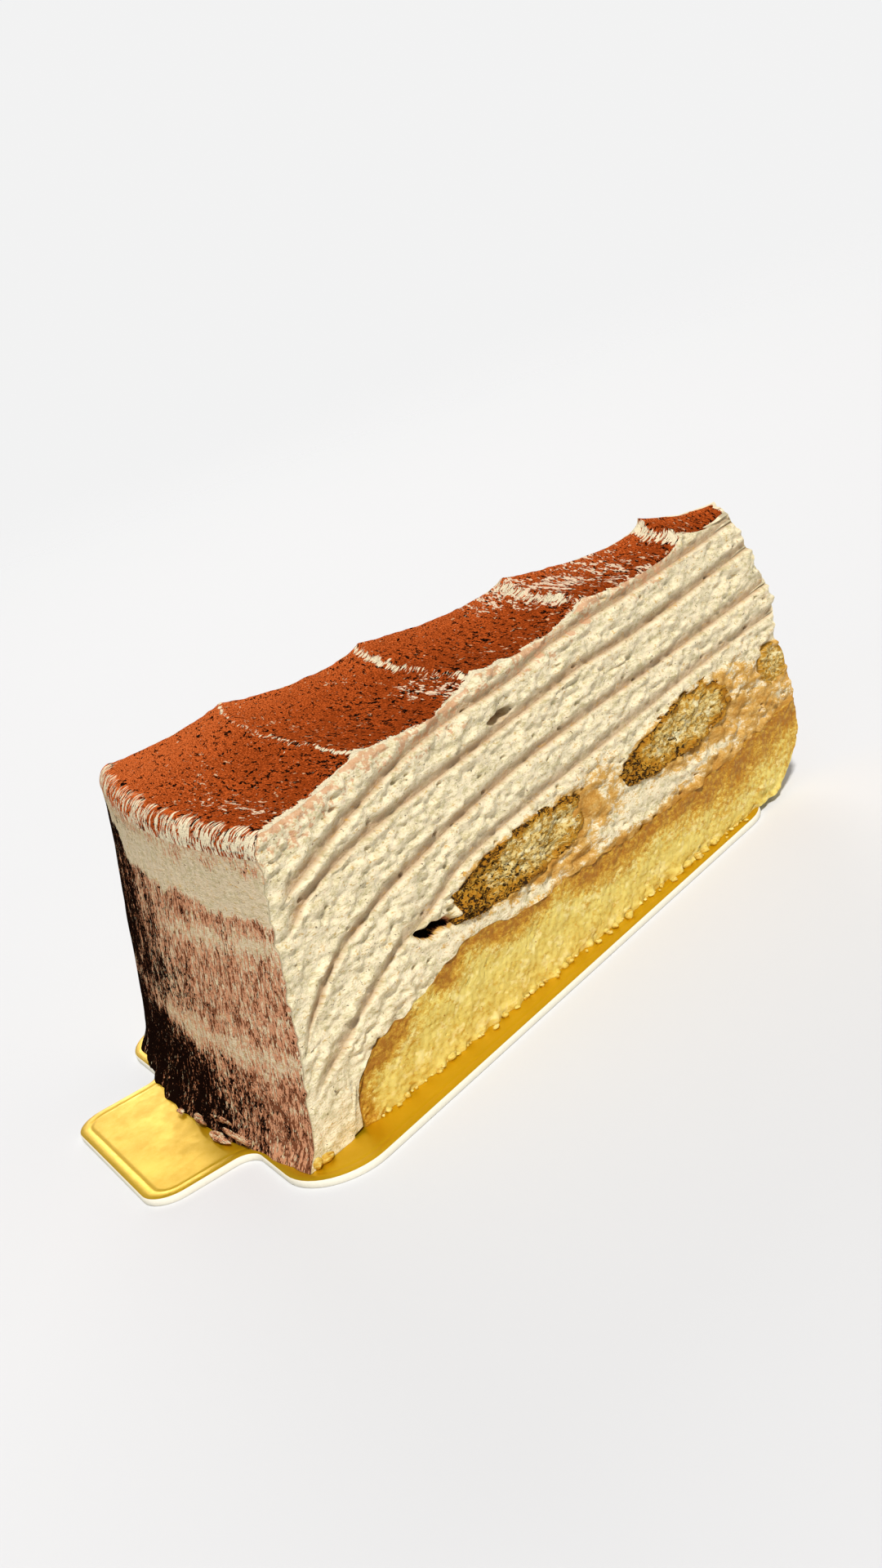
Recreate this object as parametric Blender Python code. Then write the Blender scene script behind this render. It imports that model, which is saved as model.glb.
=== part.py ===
"""A wedge of tiramisu cake on its gold card board.

The slice points along +X and its round outer wall faces -X. The near cut face is on the -Y side.
Each layer is a radius and height outline turned through the angle of the slice about the cake's
middle, so every layer runs through the wedge and shows on both cut faces.
The origin is under the middle of the whole part, on the underside of the board. Units are metres.
"""

import math

import bmesh
import bpy
from mathutils import Matrix

MM = 0.001

# The wedge: one of twelve from a round cake.
SLICE_ANGLE = math.radians(30.0)
ANGLE_STEPS = 8
APEX_X = 74.8 * MM
SIDE_LEAN = 1.3 * MM
LEAN_HEIGHT = 50.0 * MM
GAP = 0.3 * MM

# The outer wall leans out to a soft foot: its radius by height above the board, in millimetres.
WALL_EDGE = ((0.0, 132.0), (3.0, 130.3), (10.0, 128.3), (20.0, 126.1), (30.0, 123.8),
             (37.0, 122.2), (43.0, 121.4), (52.0, 121.0))
SHOULDER_DROP = 3.0 * MM

# How far the slice's tip stands from the apex, by height above the board, in millimetres.
TIP_EDGE = ((0.0, 17.5), (2.5, 12.0), (7.0, 7.8), (12.0, 6.0), (19.0, 5.4),
            (26.0, 6.2), (30.0, 4.2), (37.0, 4.9), (43.0, 6.8), (52.0, 9.2))

# The board under it.
BOARD_THICKNESS = 1.2 * MM
BOARD_HALF_ANGLE = math.radians(18.4)
BOARD_LENGTH = 129.6 * MM
BOARD_TIP_ROUND = 9.2 * MM
BOARD_CORNER_ROUND = 9.0 * MM
TAB_WIDTH = 38.0 * MM
TAB_REACH = 16.0 * MM
TAB_ROUND = 5.0 * MM
TAB_FILLET = 3.0 * MM

# Crests of the combed top as radius and height, and how deep the hollow after each one is.
CRESTS = ((7.6, 49.6), (22.0, 51.5), (47.6, 50.8), (74.0, 49.6), (98.6, 48.9), (118.4, 46.6))
HOLLOW_DEPTHS = (1.0, 2.4, 1.7, 1.8, 0.8)
HOLLOW_SKEWS = (0.9, 0.6, 0.7, 0.8, 1.0)
HOLLOW_SHARPNESS = 0.75
HOLLOW_STEPS = 6
COCOA_THICKNESS = 0.5 * MM

# Where one layer meets the next, as radius and height in millimetres, from the tip to the wall.
LINE_A = ((0, 47.9), (36, 46.7), (57, 46.5), (67, 45.2), (88, 44.5), (106, 40.3), (123, 34.8))
LINE_B = ((0, 42.6), (37, 40.3), (54, 40.6), (67, 39.6), (87, 38.3), (103, 37.0), (115, 34.5), (124, 29.0))
LINE_C = ((0, 34.7), (37, 33.4), (64, 32.9), (83, 31.3), (98, 28.9), (108, 26.6), (116, 23.3), (128, 13.3))
LINE_D = ((0, 29.3), (22, 28.9), (50, 27.4), (76, 26.0), (89, 24.4), (97, 21.4), (106, 18.9), (129, 7.2))
SPONGE_TOP = ((0, 13.8), (14, 12.4), (25, 11.1), (44, 10.8), (61, 11.6), (82, 12.6), (93, 14.2),
              (102, 12.0), (113, 9.9))
SPONGE_END_RADIUS = 120.4 * MM
SPONGE_END_ROUND = 4.5 * MM
LINE_STEPS = 22

# Sponge fingers, cut across: middle radius, height, half width, half thickness, tip-side swelling, tilt.
FINGERS = (
    ("ladyfinger_1", 78.3, 19.9, 15.3, 4.4, 0.10, math.radians(1.5)),
    ("ladyfinger_2", 37.2, 21.5, 15.2, 4.3, 0.28, math.radians(4.0)),
    ("ladyfinger_3", 9.0, 21.2, 3.9, 3.5, 0.0, math.radians(0.0)),
)
FINGER_SQUARENESS = 2.6
FINGER_STEPS = 28

# Air pockets in the near cut face: layer, radius, height, half length, half height, depth.
POCKETS = (
    ("cream_lower", 97.2, 18.6, 4.2, 1.2, 4.0),
    ("cream_band_1", 72.0, 41.3, 3.4, 0.9, 2.5),
)
POCKET_TILT = math.radians(6.0)

CREAM = (0.83, 0.78, 0.64)
SPONGE = (0.80, 0.55, 0.17)
FINGER_CRUMB = (0.55, 0.36, 0.14)
COCOA = (0.34, 0.09, 0.035)
GOLD = (0.85, 0.58, 0.06)


def clear_scene():
    for obj in list(bpy.data.objects):
        bpy.data.objects.remove(obj, do_unlink=True)


def new_collection(name):
    collection = bpy.data.collections.new(name)
    bpy.context.scene.collection.children.link(collection)
    return collection


def new_material(name, colour, roughness, metallic=0.0):
    material = bpy.data.materials.new(name)
    material.use_nodes = True
    shader = material.node_tree.nodes["Principled BSDF"]
    shader.inputs["Base Color"].default_value = (*colour, 1.0)
    shader.inputs["Roughness"].default_value = roughness
    shader.inputs["Metallic"].default_value = metallic
    return material


def along(points, at):
    """The value at `at` on a smooth curve through (place, value) points, flat beyond its ends."""
    if at <= points[0][0]:
        return points[0][1]
    if at >= points[-1][0]:
        return points[-1][1]
    span = max(i for i in range(len(points) - 1) if points[i][0] <= at)
    (x0, y0), (x1, y1) = points[span], points[span + 1]
    before = points[max(span - 1, 0)]
    after = points[min(span + 2, len(points) - 1)]
    slope0 = (y1 - before[1]) / (x1 - before[0])
    slope1 = (after[1] - y0) / (after[0] - x0)
    width = x1 - x0
    u = (at - x0) / width
    return ((1 + 2 * u) * (1 - u) ** 2 * y0 + u * (1 - u) ** 2 * width * slope0
            + u * u * (3 - 2 * u) * y1 + u * u * (u - 1) * width * slope1)


def tip_radius(height):
    return along(TIP_EDGE, height / MM) * MM


def wall_radius(height):
    return along(WALL_EDGE, height / MM) * MM


def line_height(points, radius):
    return along(points, radius / MM) * MM


def end_of_line(points, edge, start):
    """The radius at which a layer line meets the tip edge or the wall."""
    radius = start
    for _ in range(12):
        radius = edge(line_height(points, radius))
    return radius


def layer_line(points, shift):
    """One layer line from the tip edge to the wall, moved up or down by `shift`."""
    first = end_of_line(points, tip_radius, 6 * MM)
    last = end_of_line(points, wall_radius, wall_radius(0.0))
    radii = [first + (last - first) * i / LINE_STEPS for i in range(LINE_STEPS + 1)]
    return [(radius, line_height(points, radius) + shift) for radius in radii]


def edge_between(edge, low, high, steps):
    """Points up the wall or the tip edge between two heights, without its ends."""
    heights = [low + (high - low) * i / steps for i in range(1, steps)]
    return [(edge(height), height) for height in heights]


def top_line(drop):
    """The combed top: sharp crests with a hollow between each two, steeper on the hollow's inner side."""
    line = []
    for i, depth in enumerate(HOLLOW_DEPTHS):
        (r0, z0), (r1, z1) = CRESTS[i], CRESTS[i + 1]
        for step in range(HOLLOW_STEPS):
            u = step / HOLLOW_STEPS
            sag = math.sin(math.pi * u ** HOLLOW_SKEWS[i]) ** HOLLOW_SHARPNESS
            line.append(((r0 + (r1 - r0) * u) * MM, (z0 + (z1 - z0) * u - depth * sag) * MM - drop))
    line.append((CRESTS[-1][0] * MM, CRESTS[-1][1] * MM - drop))
    return line


def band_outline(lower, upper):
    """The outline of a band of cream between two layer lines, tip to wall and back."""
    below = layer_line(lower, GAP / 2)
    above = layer_line(upper, -GAP / 2)
    wall = edge_between(wall_radius, below[-1][1], above[-1][1], 4)
    tip = edge_between(tip_radius, above[0][1], below[0][1], 4)
    return below + wall + above[::-1] + tip


def cream_top_outline():
    below = layer_line(LINE_A, GAP / 2)
    above = top_line(COCOA_THICKNESS + GAP)
    edge_radius, edge_height = above[-1]
    wall = edge_between(wall_radius, below[-1][1], edge_height - SHOULDER_DROP, 4)
    reach = wall_radius(edge_height - SHOULDER_DROP) - edge_radius
    shoulder = [(edge_radius + reach * math.cos(a), edge_height - SHOULDER_DROP * (1 - math.sin(a)))
                for a in (math.pi / 2 * i / 5 for i in range(5))]
    tip = edge_between(tip_radius, above[0][1], below[0][1], 3)
    return below + wall + shoulder + above[::-1] + tip


def cocoa_outline():
    return top_line(COCOA_THICKNESS) + top_line(0.0)[::-1]


def sponge_line(shift):
    """The sponge's top from the tip edge round its blunt outer end and down to the board."""
    first = end_of_line(SPONGE_TOP, tip_radius, 6 * MM)
    last = SPONGE_END_RADIUS - SPONGE_END_ROUND
    radii = [first + (last - first) * i / LINE_STEPS for i in range(LINE_STEPS + 1)]
    line = [(radius, line_height(SPONGE_TOP, radius) + shift) for radius in radii]
    middle = line[-1][1] - shift - SPONGE_END_ROUND
    reach = SPONGE_END_ROUND + shift
    turn = [(last + reach * math.sin(a), middle + reach * math.cos(a))
            for a in (math.pi / 2 * i / 6 for i in range(1, 7))]
    return line + turn + [(SPONGE_END_RADIUS + shift - 1.0 * MM, GAP)]


def sponge_outline():
    bottom = [(tip_radius(GAP), GAP)]
    top = sponge_line(-GAP / 2)
    tip = edge_between(tip_radius, top[0][1], GAP, 6)
    return top[::-1] + tip + bottom


def cream_lower_outline():
    below = sponge_line(GAP / 2)
    above = layer_line(LINE_D, -GAP / 2)
    foot = [(wall_radius(GAP), GAP)]
    wall = edge_between(wall_radius, GAP, above[-1][1], 4)
    tip = edge_between(tip_radius, above[0][1], below[0][1], 6)
    return below + foot + wall + above[::-1] + tip


def place_on_board(bm):
    """Leans the slice a little up towards the far side, and sets it on the board under its apex."""
    for vert in bm.verts:
        angle = math.atan2(vert.co.y, -vert.co.x)
        lean = SIDE_LEAN * angle / (SLICE_ANGLE / 2) * vert.co.z / LEAN_HEIGHT
        vert.co.z += lean + BOARD_THICKNESS
        vert.co.x += APEX_X


def object_from(bm, name, material, collection):
    bmesh.ops.recalc_face_normals(bm, faces=bm.faces)
    mesh = bpy.data.meshes.new(name)
    bm.to_mesh(mesh)
    bm.free()
    mesh.materials.append(material)
    mesh.shade_smooth()
    mesh.set_sharp_from_angle(angle=math.radians(35))
    obj = bpy.data.objects.new(name, mesh)
    collection.objects.link(obj)
    return obj


def turned_layer(name, outline, material, collection):
    """A closed radius and height outline turned through the slice's angle, from the near cut to the far one."""
    bm = bmesh.new()
    near = -SLICE_ANGLE / 2
    verts = [bm.verts.new((-radius * math.cos(near), radius * math.sin(near), height))
             for radius, height in outline]
    face = bm.faces.new(verts)
    bmesh.ops.spin(bm, geom=[face, *face.edges, *face.verts], cent=(0, 0, 0), axis=(0, 0, -1),
                   angle=SLICE_ANGLE, steps=ANGLE_STEPS)
    bmesh.ops.remove_doubles(bm, verts=bm.verts, dist=1e-7)
    place_on_board(bm)
    return object_from(bm, name, material, collection)


def finger_outline(radius, height, half_width, half_thickness, swelling, tilt):
    """A squared oval that swells towards the tip of the slice, turned by its tilt."""
    outline = []
    for i in range(FINGER_STEPS):
        a = 2 * math.pi * i / FINGER_STEPS
        across = math.copysign(abs(math.cos(a)) ** (2 / FINGER_SQUARENESS), math.cos(a))
        up = math.copysign(abs(math.sin(a)) ** (2 / FINGER_SQUARENESS), math.sin(a))
        x = half_width * across
        z = half_thickness * up * (1 - swelling * across)
        outline.append((radius + x * math.cos(tilt) + z * math.sin(tilt),
                        height - x * math.sin(tilt) + z * math.cos(tilt)))
    return outline


def finger_stick(name, outline, overrun, material, collection):
    """A sponge finger lying across the slice, sawn off by both cut faces, or run past them by `overrun`."""
    bm = bmesh.new()
    slope = math.tan(SLICE_ANGLE / 2)
    shorten = math.cos(SLICE_ANGLE / 2)
    verts = [bm.verts.new((-r * shorten, -r * shorten * slope - overrun, z)) for r, z in outline]
    face = bm.faces.new(verts)
    made = bmesh.ops.extrude_face_region(bm, geom=[face])["geom"]
    for vert in (v for v in made if isinstance(v, bmesh.types.BMVert)):
        vert.co.y = -vert.co.y
    place_on_board(bm)
    return object_from(bm, name, material, collection)


def pocket_cutter(name, radius, height, half_length, half_height, depth, collection):
    """A small lens that opens an air pocket where it crosses the near cut face."""
    bm = bmesh.new()
    bmesh.ops.create_uvsphere(bm, u_segments=14, v_segments=8, radius=1.0)
    bmesh.ops.scale(bm, verts=bm.verts, vec=(half_length * MM, depth * MM, half_height * MM))
    bmesh.ops.rotate(bm, verts=bm.verts, matrix=Matrix.Rotation(-POCKET_TILT, 3, "Y"))
    bmesh.ops.translate(bm, verts=bm.verts, vec=(-radius * MM, 0, height * MM))
    bmesh.ops.rotate(bm, verts=bm.verts, matrix=Matrix.Rotation(SLICE_ANGLE / 2, 3, "Z"))
    place_on_board(bm)
    return object_from(bm, name, bpy.data.materials["cream"], collection)


def hide_cutter(obj):
    obj.hide_render = True
    obj.display_type = "WIRE"


def cut(obj, cutter):
    modifier = obj.modifiers.new(cutter.name, "BOOLEAN")
    modifier.operation = "DIFFERENCE"
    modifier.solver = "EXACT"
    modifier.object = cutter


def rounded(corners, steps=7):
    """An outline through (x, y, round) corners, each one rounded by an arc of its own radius."""
    outline = []
    for i, (x, y, radius) in enumerate(corners):
        before, after = corners[i - 1], corners[(i + 1) % len(corners)]
        a = math.atan2(before[1] - y, before[0] - x)
        b = math.atan2(after[1] - y, after[0] - x)
        between = (b - a + math.pi) % (2 * math.pi) - math.pi
        half = between / 2
        reach = radius / abs(math.sin(half))
        centre = (x + reach * math.cos(a + half), y + reach * math.sin(a + half))
        turn = math.copysign(math.pi - abs(between), -between)
        start = a + half + math.pi - turn / 2
        outline += [(centre[0] + radius * math.cos(start + turn * s / steps),
                     centre[1] + radius * math.sin(start + turn * s / steps)) for s in range(steps + 1)]
    return outline


def board_outline():
    """A wedge with a round point, a straight wide end and a tab to lift the slice by."""
    end_x = -BOARD_LENGTH
    half_end = BOARD_LENGTH * math.tan(BOARD_HALF_ANGLE)
    tab = TAB_WIDTH / 2
    half = [(0.0, 0.0, BOARD_TIP_ROUND),
            (end_x, -half_end, BOARD_CORNER_ROUND),
            (end_x, -tab, TAB_FILLET),
            (end_x - TAB_REACH, -tab, TAB_ROUND)]
    other = [(x, -y, r) for x, y, r in half[:0:-1]]
    return rounded(half + other)


def gold_board(collection):
    curve = bpy.data.curves.new("gold_board", "CURVE")
    curve.dimensions = "2D"
    curve.fill_mode = "BOTH"
    curve.extrude = BOARD_THICKNESS / 2
    outline = board_outline()
    spline = curve.splines.new("POLY")
    spline.points.add(len(outline) - 1)
    for point, (x, y) in zip(spline.points, outline):
        point.co = (x, y, 0, 1)
    spline.use_cyclic_u = True
    curve.materials.append(new_material("gold_card", GOLD, 0.35, 0.9))
    board = bpy.data.objects.new("gold_board", curve)
    board.location = (APEX_X, 0, BOARD_THICKNESS / 2)
    collection.objects.link(board)
    return board


def build():
    clear_scene()
    part = new_collection("tiramisu_slice")
    cutters = new_collection("cutters")
    cream = new_material("cream", CREAM, 0.6)
    sponge = new_material("sponge", SPONGE, 0.85)
    crumb = new_material("finger_crumb", FINGER_CRUMB, 0.9)
    cocoa = new_material("cocoa", COCOA, 0.95)

    layers = {
        "cream_top": turned_layer("cream_top", cream_top_outline(), cream, part),
        "cream_band_1": turned_layer("cream_band_1", band_outline(LINE_B, LINE_A), cream, part),
        "cream_band_2": turned_layer("cream_band_2", band_outline(LINE_C, LINE_B), cream, part),
        "cream_band_3": turned_layer("cream_band_3", band_outline(LINE_D, LINE_C), cream, part),
        "cream_lower": turned_layer("cream_lower", cream_lower_outline(), cream, part),
        "sponge_base": turned_layer("sponge_base", sponge_outline(), sponge, part),
        "cocoa_layer": turned_layer("cocoa_layer", cocoa_outline(), cocoa, part),
    }
    for name, radius, height, half_width, half_thickness, swelling, tilt in FINGERS:
        sizes = (radius * MM, height * MM, half_width * MM, half_thickness * MM)
        finger_stick(name, finger_outline(*sizes, swelling, tilt), 0.0, crumb, part)
        wider = (sizes[0], sizes[1], sizes[2] + GAP, sizes[3] + GAP)
        cutter = finger_stick(name + "_room", finger_outline(*wider, swelling, tilt), 3 * MM, crumb, cutters)
        hide_cutter(cutter)
        cut(layers["cream_lower"], cutter)
    for number, (layer, radius, height, half_length, half_height, depth) in enumerate(POCKETS, 1):
        cutter = pocket_cutter(f"pocket_{number}", radius, height, half_length, half_height, depth, cutters)
        hide_cutter(cutter)
        cut(layers[layer], cutter)
    board = gold_board(part)

    stand = bpy.data.objects.new("slice_origin", None)
    part.objects.link(stand)
    for obj in [*layers.values(), board, *(bpy.data.objects[finger[0]] for finger in FINGERS)]:
        obj.parent = stand


build()
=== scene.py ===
# %% [markdown]
# # A slice of tiramisu on its gold card board
# This lesson dresses a plain model of a cake slice until it looks like food. The plain model, the frame,
# already holds every layer at its true size. Each step below makes a finer surface for one layer with
# numpy, then gives it a finish made of shader nodes.

import math

import bpy
import numpy as np
from mathutils import Matrix, Vector


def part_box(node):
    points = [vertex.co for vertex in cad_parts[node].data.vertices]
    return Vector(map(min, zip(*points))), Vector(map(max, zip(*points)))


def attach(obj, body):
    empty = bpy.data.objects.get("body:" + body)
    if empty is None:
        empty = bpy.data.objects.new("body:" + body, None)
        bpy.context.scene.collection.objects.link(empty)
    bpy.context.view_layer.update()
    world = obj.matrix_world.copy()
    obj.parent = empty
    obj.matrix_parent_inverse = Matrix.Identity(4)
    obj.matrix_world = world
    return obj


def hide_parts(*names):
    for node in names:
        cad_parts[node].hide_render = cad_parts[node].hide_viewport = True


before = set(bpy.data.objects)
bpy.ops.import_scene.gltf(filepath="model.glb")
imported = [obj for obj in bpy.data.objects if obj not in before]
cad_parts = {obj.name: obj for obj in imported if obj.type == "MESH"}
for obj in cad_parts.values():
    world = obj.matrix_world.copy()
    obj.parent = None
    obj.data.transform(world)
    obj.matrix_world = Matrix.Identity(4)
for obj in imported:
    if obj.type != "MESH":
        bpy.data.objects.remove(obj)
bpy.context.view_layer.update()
MM = 0.001
print("frame nodes:", sorted(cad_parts))

# %% [markdown]
# ## The slice in numbers
# A cake is turned, so a point in it is named by its radius from the middle, its angle and its height.
# All sizes here are in millimetres, because food detail is counted in tenths of one. They become metres
# only when a mesh is made. A layer's edge is a smooth curve through a few radius and height points. The
# outer wall unrolls at WALL_RADIUS into a flat map, and FAR_MAP sets the maps of the two cuts apart from it.

# %% Sizes of the wedge
HALF_ANGLE = math.radians(15.0)
APEX = 74.8
BOARD_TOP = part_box("gold_board")[1].z / MM
SIDE_LEAN = 1.3
LEAN_HEIGHT = 50.0
COCOA = 0.5
SHOULDER_DROP = 3.0
WALL_RADIUS = 125.0
FAR_MAP = 200.0
CRESTS = ((7.6, 49.6), (22.0, 51.5), (47.6, 50.8), (74.0, 49.6), (98.6, 48.9), (118.4, 46.6))
HOLLOW_DEPTHS = (1.0, 2.4, 1.7, 1.8, 0.8)
HOLLOW_SKEWS = (0.9, 0.6, 0.7, 0.8, 1.0)
HOLLOW_SHARPNESS = 0.75

WALL_EDGE = ((0.0, 132.0), (3.0, 130.3), (10.0, 128.3), (20.0, 126.1), (30.0, 123.8),
             (37.0, 122.2), (43.0, 121.4), (52.0, 121.0))
TIP_EDGE = ((0.0, 17.5), (2.5, 12.0), (7.0, 7.8), (12.0, 6.0), (19.0, 5.4),
            (26.0, 6.2), (30.0, 4.2), (37.0, 4.9), (43.0, 6.8), (52.0, 9.2))
LINE_A = ((0, 47.9), (36, 46.7), (57, 46.5), (67, 45.2), (88, 44.5), (106, 40.3), (123, 34.8))
LINE_B = ((0, 42.6), (37, 40.3), (54, 40.6), (67, 39.6), (87, 38.3), (103, 37.0), (115, 34.5), (124, 29.0))
LINE_C = ((0, 34.7), (37, 33.4), (64, 32.9), (83, 31.3), (98, 28.9), (108, 26.6), (116, 23.3), (128, 13.3))
LINE_D = ((0, 29.3), (22, 28.9), (50, 27.4), (76, 26.0), (89, 24.4), (97, 21.4), (106, 18.9), (129, 7.2))
SPONGE_TOP = ((0, 13.8), (14, 12.4), (25, 11.1), (44, 10.8), (61, 11.6), (82, 12.6), (93, 14.2),
              (102, 12.0), (113, 9.9), (117, 8.4), (119.3, 6.4), (120.6, 3.6), (120.9, 0.0))
SPONGE_END = ((0.0, 120.6), (4.0, 120.7), (7.0, 119.0), (9.0, 116.0), (12.0, 111.0))
# Each finger: radius and height of its middle, half its width and thickness, its swelling and its tilt.
FINGERS = {
    "ladyfinger_1": (78.3, 19.9, 15.3, 4.4, 0.10, math.radians(1.5)),
    "ladyfinger_2": (37.2, 21.5, 15.2, 4.3, 0.28, math.radians(4.0)),
    "ladyfinger_3": (9.0, 21.2, 3.9, 3.5, 0.0, 0.0),
}
FINGER_SQUARENESS = 2.6


# %% Smooth curves and the polar frame
def along(points, at):
    """A curve through (place, value) points: a cubic in each span, whose slopes join the neighbours."""
    x, y = np.array(points, float).T
    slope = np.empty_like(y)
    slope[1:-1] = (y[2:] - y[:-2]) / (x[2:] - x[:-2])
    slope[0] = (y[1] - y[0]) / (x[1] - x[0])
    slope[-1] = (y[-1] - y[-2]) / (x[-1] - x[-2])
    at = np.clip(at, x[0], x[-1])
    i = np.clip(np.searchsorted(x, at, side="right") - 1, 0, len(x) - 2)
    width = x[i + 1] - x[i]
    u = (at - x[i]) / width
    return ((1 + 2 * u) * (1 - u) ** 2 * y[i] + u * (1 - u) ** 2 * width * slope[i]
            + u * u * (3 - 2 * u) * y[i + 1] + u * u * (u - 1) * width * slope[i + 1])


def place(radius, angle, height):
    """Polar to part space: x is the apex less radius times cosine, y is radius times sine, and z leans."""
    lean = SIDE_LEAN * angle / HALF_ANGLE * height / LEAN_HEIGHT
    return np.stack([APEX - radius * np.cos(angle), radius * np.sin(angle), BOARD_TOP + height + lean], -1)


def push_off_cut(points, distance, side):
    """Moves points off a cut along its normal: sine of the half angle along x, and cosine along y."""
    points[..., 0] += distance * math.sin(HALF_ANGLE)
    points[..., 1] += distance * side * math.cos(HALF_ANGLE)
    return points


def smooth_step(low, high, value):
    """0 below `low`, 1 above `high`, and three u squared less two u cubed between."""
    u = np.clip((value - low) / (high - low), 0.0, 1.0)
    return u * u * (3 - 2 * u)


# %% [markdown]
# ## Repeatable randomness
# Cream, crumb and powder are uneven everywhere, but never in a regular way. A hash turns the numbers of a
# grid cell into a random value that is the same on each run. Blending the values at a cell's corners gives
# soft lumps, and measuring the distance to one random point in each cell gives pores. The last number
# given to each is a seed, which picks a pattern of its own.

# %% Noise made from hashed cells
def cell_random(ix, iy, iz, seed):
    """A number from 0 to 1 for each cell: its whole numbers times large primes, mixed by xor and shifts."""
    h = (ix.astype(np.uint32) * np.uint32(73856093)) ^ (iy.astype(np.uint32) * np.uint32(19349663))
    h = h ^ (iz.astype(np.uint32) * np.uint32(83492791)) ^ np.uint32(seed * 2654435761 % 2 ** 32)
    h = (h ^ (h >> np.uint32(13))) * np.uint32(1274126177)
    h = (h ^ (h >> np.uint32(15))) * np.uint32(2246822519)
    return ((h ^ (h >> np.uint32(16))) & np.uint32(0xFFFFFF)) / float(0xFFFFFF)


def lumps(x, y, z, size, seed):
    """Soft noise from -1 to 1: the eight corner values of a cell blended by a smooth step along each side."""
    x, y, z = np.broadcast_arrays(x / size, y / size, z / size)
    ix, iy, iz = (np.floor(v).astype(np.int64) for v in (x, y, z))
    fx, fy, fz = (v - i for v, i in ((x, ix), (y, iy), (z, iz)))
    fx, fy, fz = (f * f * (3 - 2 * f) for f in (fx, fy, fz))
    total = 0.0
    for corner in range(8):
        a, b, c = corner & 1, corner >> 1 & 1, corner >> 2
        weight = (fx if a else 1 - fx) * (fy if b else 1 - fy) * (fz if c else 1 - fz)
        total = total + weight * cell_random(ix + a, iy + b, iz + c, seed)
    return 2 * total - 1


def pores(x, y, size, seed):
    """Distance, in cells, to the nearest of one random point in each cell, and that point's own value."""
    x, y = np.broadcast_arrays(x / size, y / size)
    ix, iy = np.floor(x).astype(np.int64), np.floor(y).astype(np.int64)
    none = np.zeros_like(ix)
    best = np.full(x.shape, 9.0)
    value = np.zeros(x.shape)
    for a in (-1, 0, 1):
        for b in (-1, 0, 1):
            px = ix + a + cell_random(ix + a, iy + b, none, seed)
            py = iy + b + cell_random(ix + a, iy + b, none + 1, seed)
            gap = np.hypot(px - x, py - y)
            nearer = gap < best
            best = np.where(nearer, gap, best)
            value = np.where(nearer, cell_random(ix + a, iy + b, none + 2, seed), value)
    return best, value


# %% [markdown]
# ## From arrays to a mesh
# Every surface ends in the same way: points as one array, faces as arrays of point numbers. Values that
# a finish needs, such as how soaked a spot is, travel with the points as named attributes. A UV map in
# millimetres lets a pattern follow the surface.

# %% Mesh maker
SHARP_ANGLE = math.radians(65)


def sharpen(mesh, rim):
    """Edges steeper than a limit are drawn sharp, and so is each edge that joins two points of the rim."""
    mesh.set_sharp_from_angle(angle=SHARP_ANGLE)
    if rim is None:
        return
    ends = np.empty(len(mesh.edges) * 2, np.int32)
    mesh.edges.foreach_get("vertices", ends)
    on_rim = np.zeros(len(mesh.vertices), bool)
    on_rim[rim] = True
    sharp = np.empty(len(mesh.edges), bool)
    marks = mesh.attributes.get("sharp_edge") or mesh.attributes.new("sharp_edge", "BOOLEAN", "EDGE")
    marks.data.foreach_get("value", sharp)
    marks.data.foreach_set("value", sharp | on_rim[ends.reshape(-1, 2)].all(1))


def make_piece(name, points, quads, extra_faces, slot, material, values=None, uv=None, node=None, rim=None):
    """A mesh object from points in millimetres, with values as attributes and a UV spread to its corners."""
    loops = np.concatenate([quads.ravel(), *extra_faces])
    counts = np.array([4] * len(quads) + [len(face) for face in extra_faces])
    mesh = bpy.data.meshes.new(name)
    mesh.vertices.add(len(points))
    mesh.vertices.foreach_set("co", (points * MM).astype(np.float32).ravel())
    mesh.loops.add(len(loops))
    mesh.loops.foreach_set("vertex_index", loops.astype(np.int32))
    mesh.polygons.add(len(counts))
    mesh.polygons.foreach_set("loop_start", np.concatenate([[0], np.cumsum(counts)[:-1]]).astype(np.int32))
    mesh.update(calc_edges=True)
    mesh.validate()
    for key, value in (values or {}).items():
        layer = mesh.attributes.new(key, "FLOAT", "POINT")
        layer.data.foreach_set("value", np.broadcast_to(value, len(points)).astype(np.float32).ravel())
    if uv is not None:
        corner = np.empty(len(mesh.loops), np.int32)
        mesh.loops.foreach_get("vertex_index", corner)
        layer = mesh.uv_layers.new(name="surface")
        layer.data.foreach_set("uv", uv[corner].astype(np.float32).ravel())
    mesh.polygons.foreach_set("use_smooth", np.ones(len(mesh.polygons), bool))
    sharpen(mesh, rim)
    mesh.materials.append(material)
    obj = bpy.data.objects.new(name, mesh)
    bpy.context.scene.collection.objects.link(obj)
    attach(obj, "root")
    if node:
        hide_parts(node)
    print(name, len(mesh.vertices), "points", len(mesh.polygons), "faces")
    return obj


# %% [markdown]
# ## Shader helpers
# A material is a small graph of nodes. A graph could be wired by hand, socket by socket, but a finish reads
# better as a formula. So a Field stands for a number that varies over the surface, and plus, minus and
# times on it add Math nodes. The rough grain that every finish shares is a node group.

# %% Node helpers
class Field:
    """A number that varies over the surface, as the output socket of a node."""

    def __init__(self, graph, socket):
        self.graph = graph
        self.socket = socket

    def __add__(self, other):
        return self.graph.maths("ADD", self, other)

    def __sub__(self, other):
        return self.graph.maths("SUBTRACT", self, other)

    def __mul__(self, other):
        return self.graph.maths("MULTIPLY", self, other)


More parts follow.
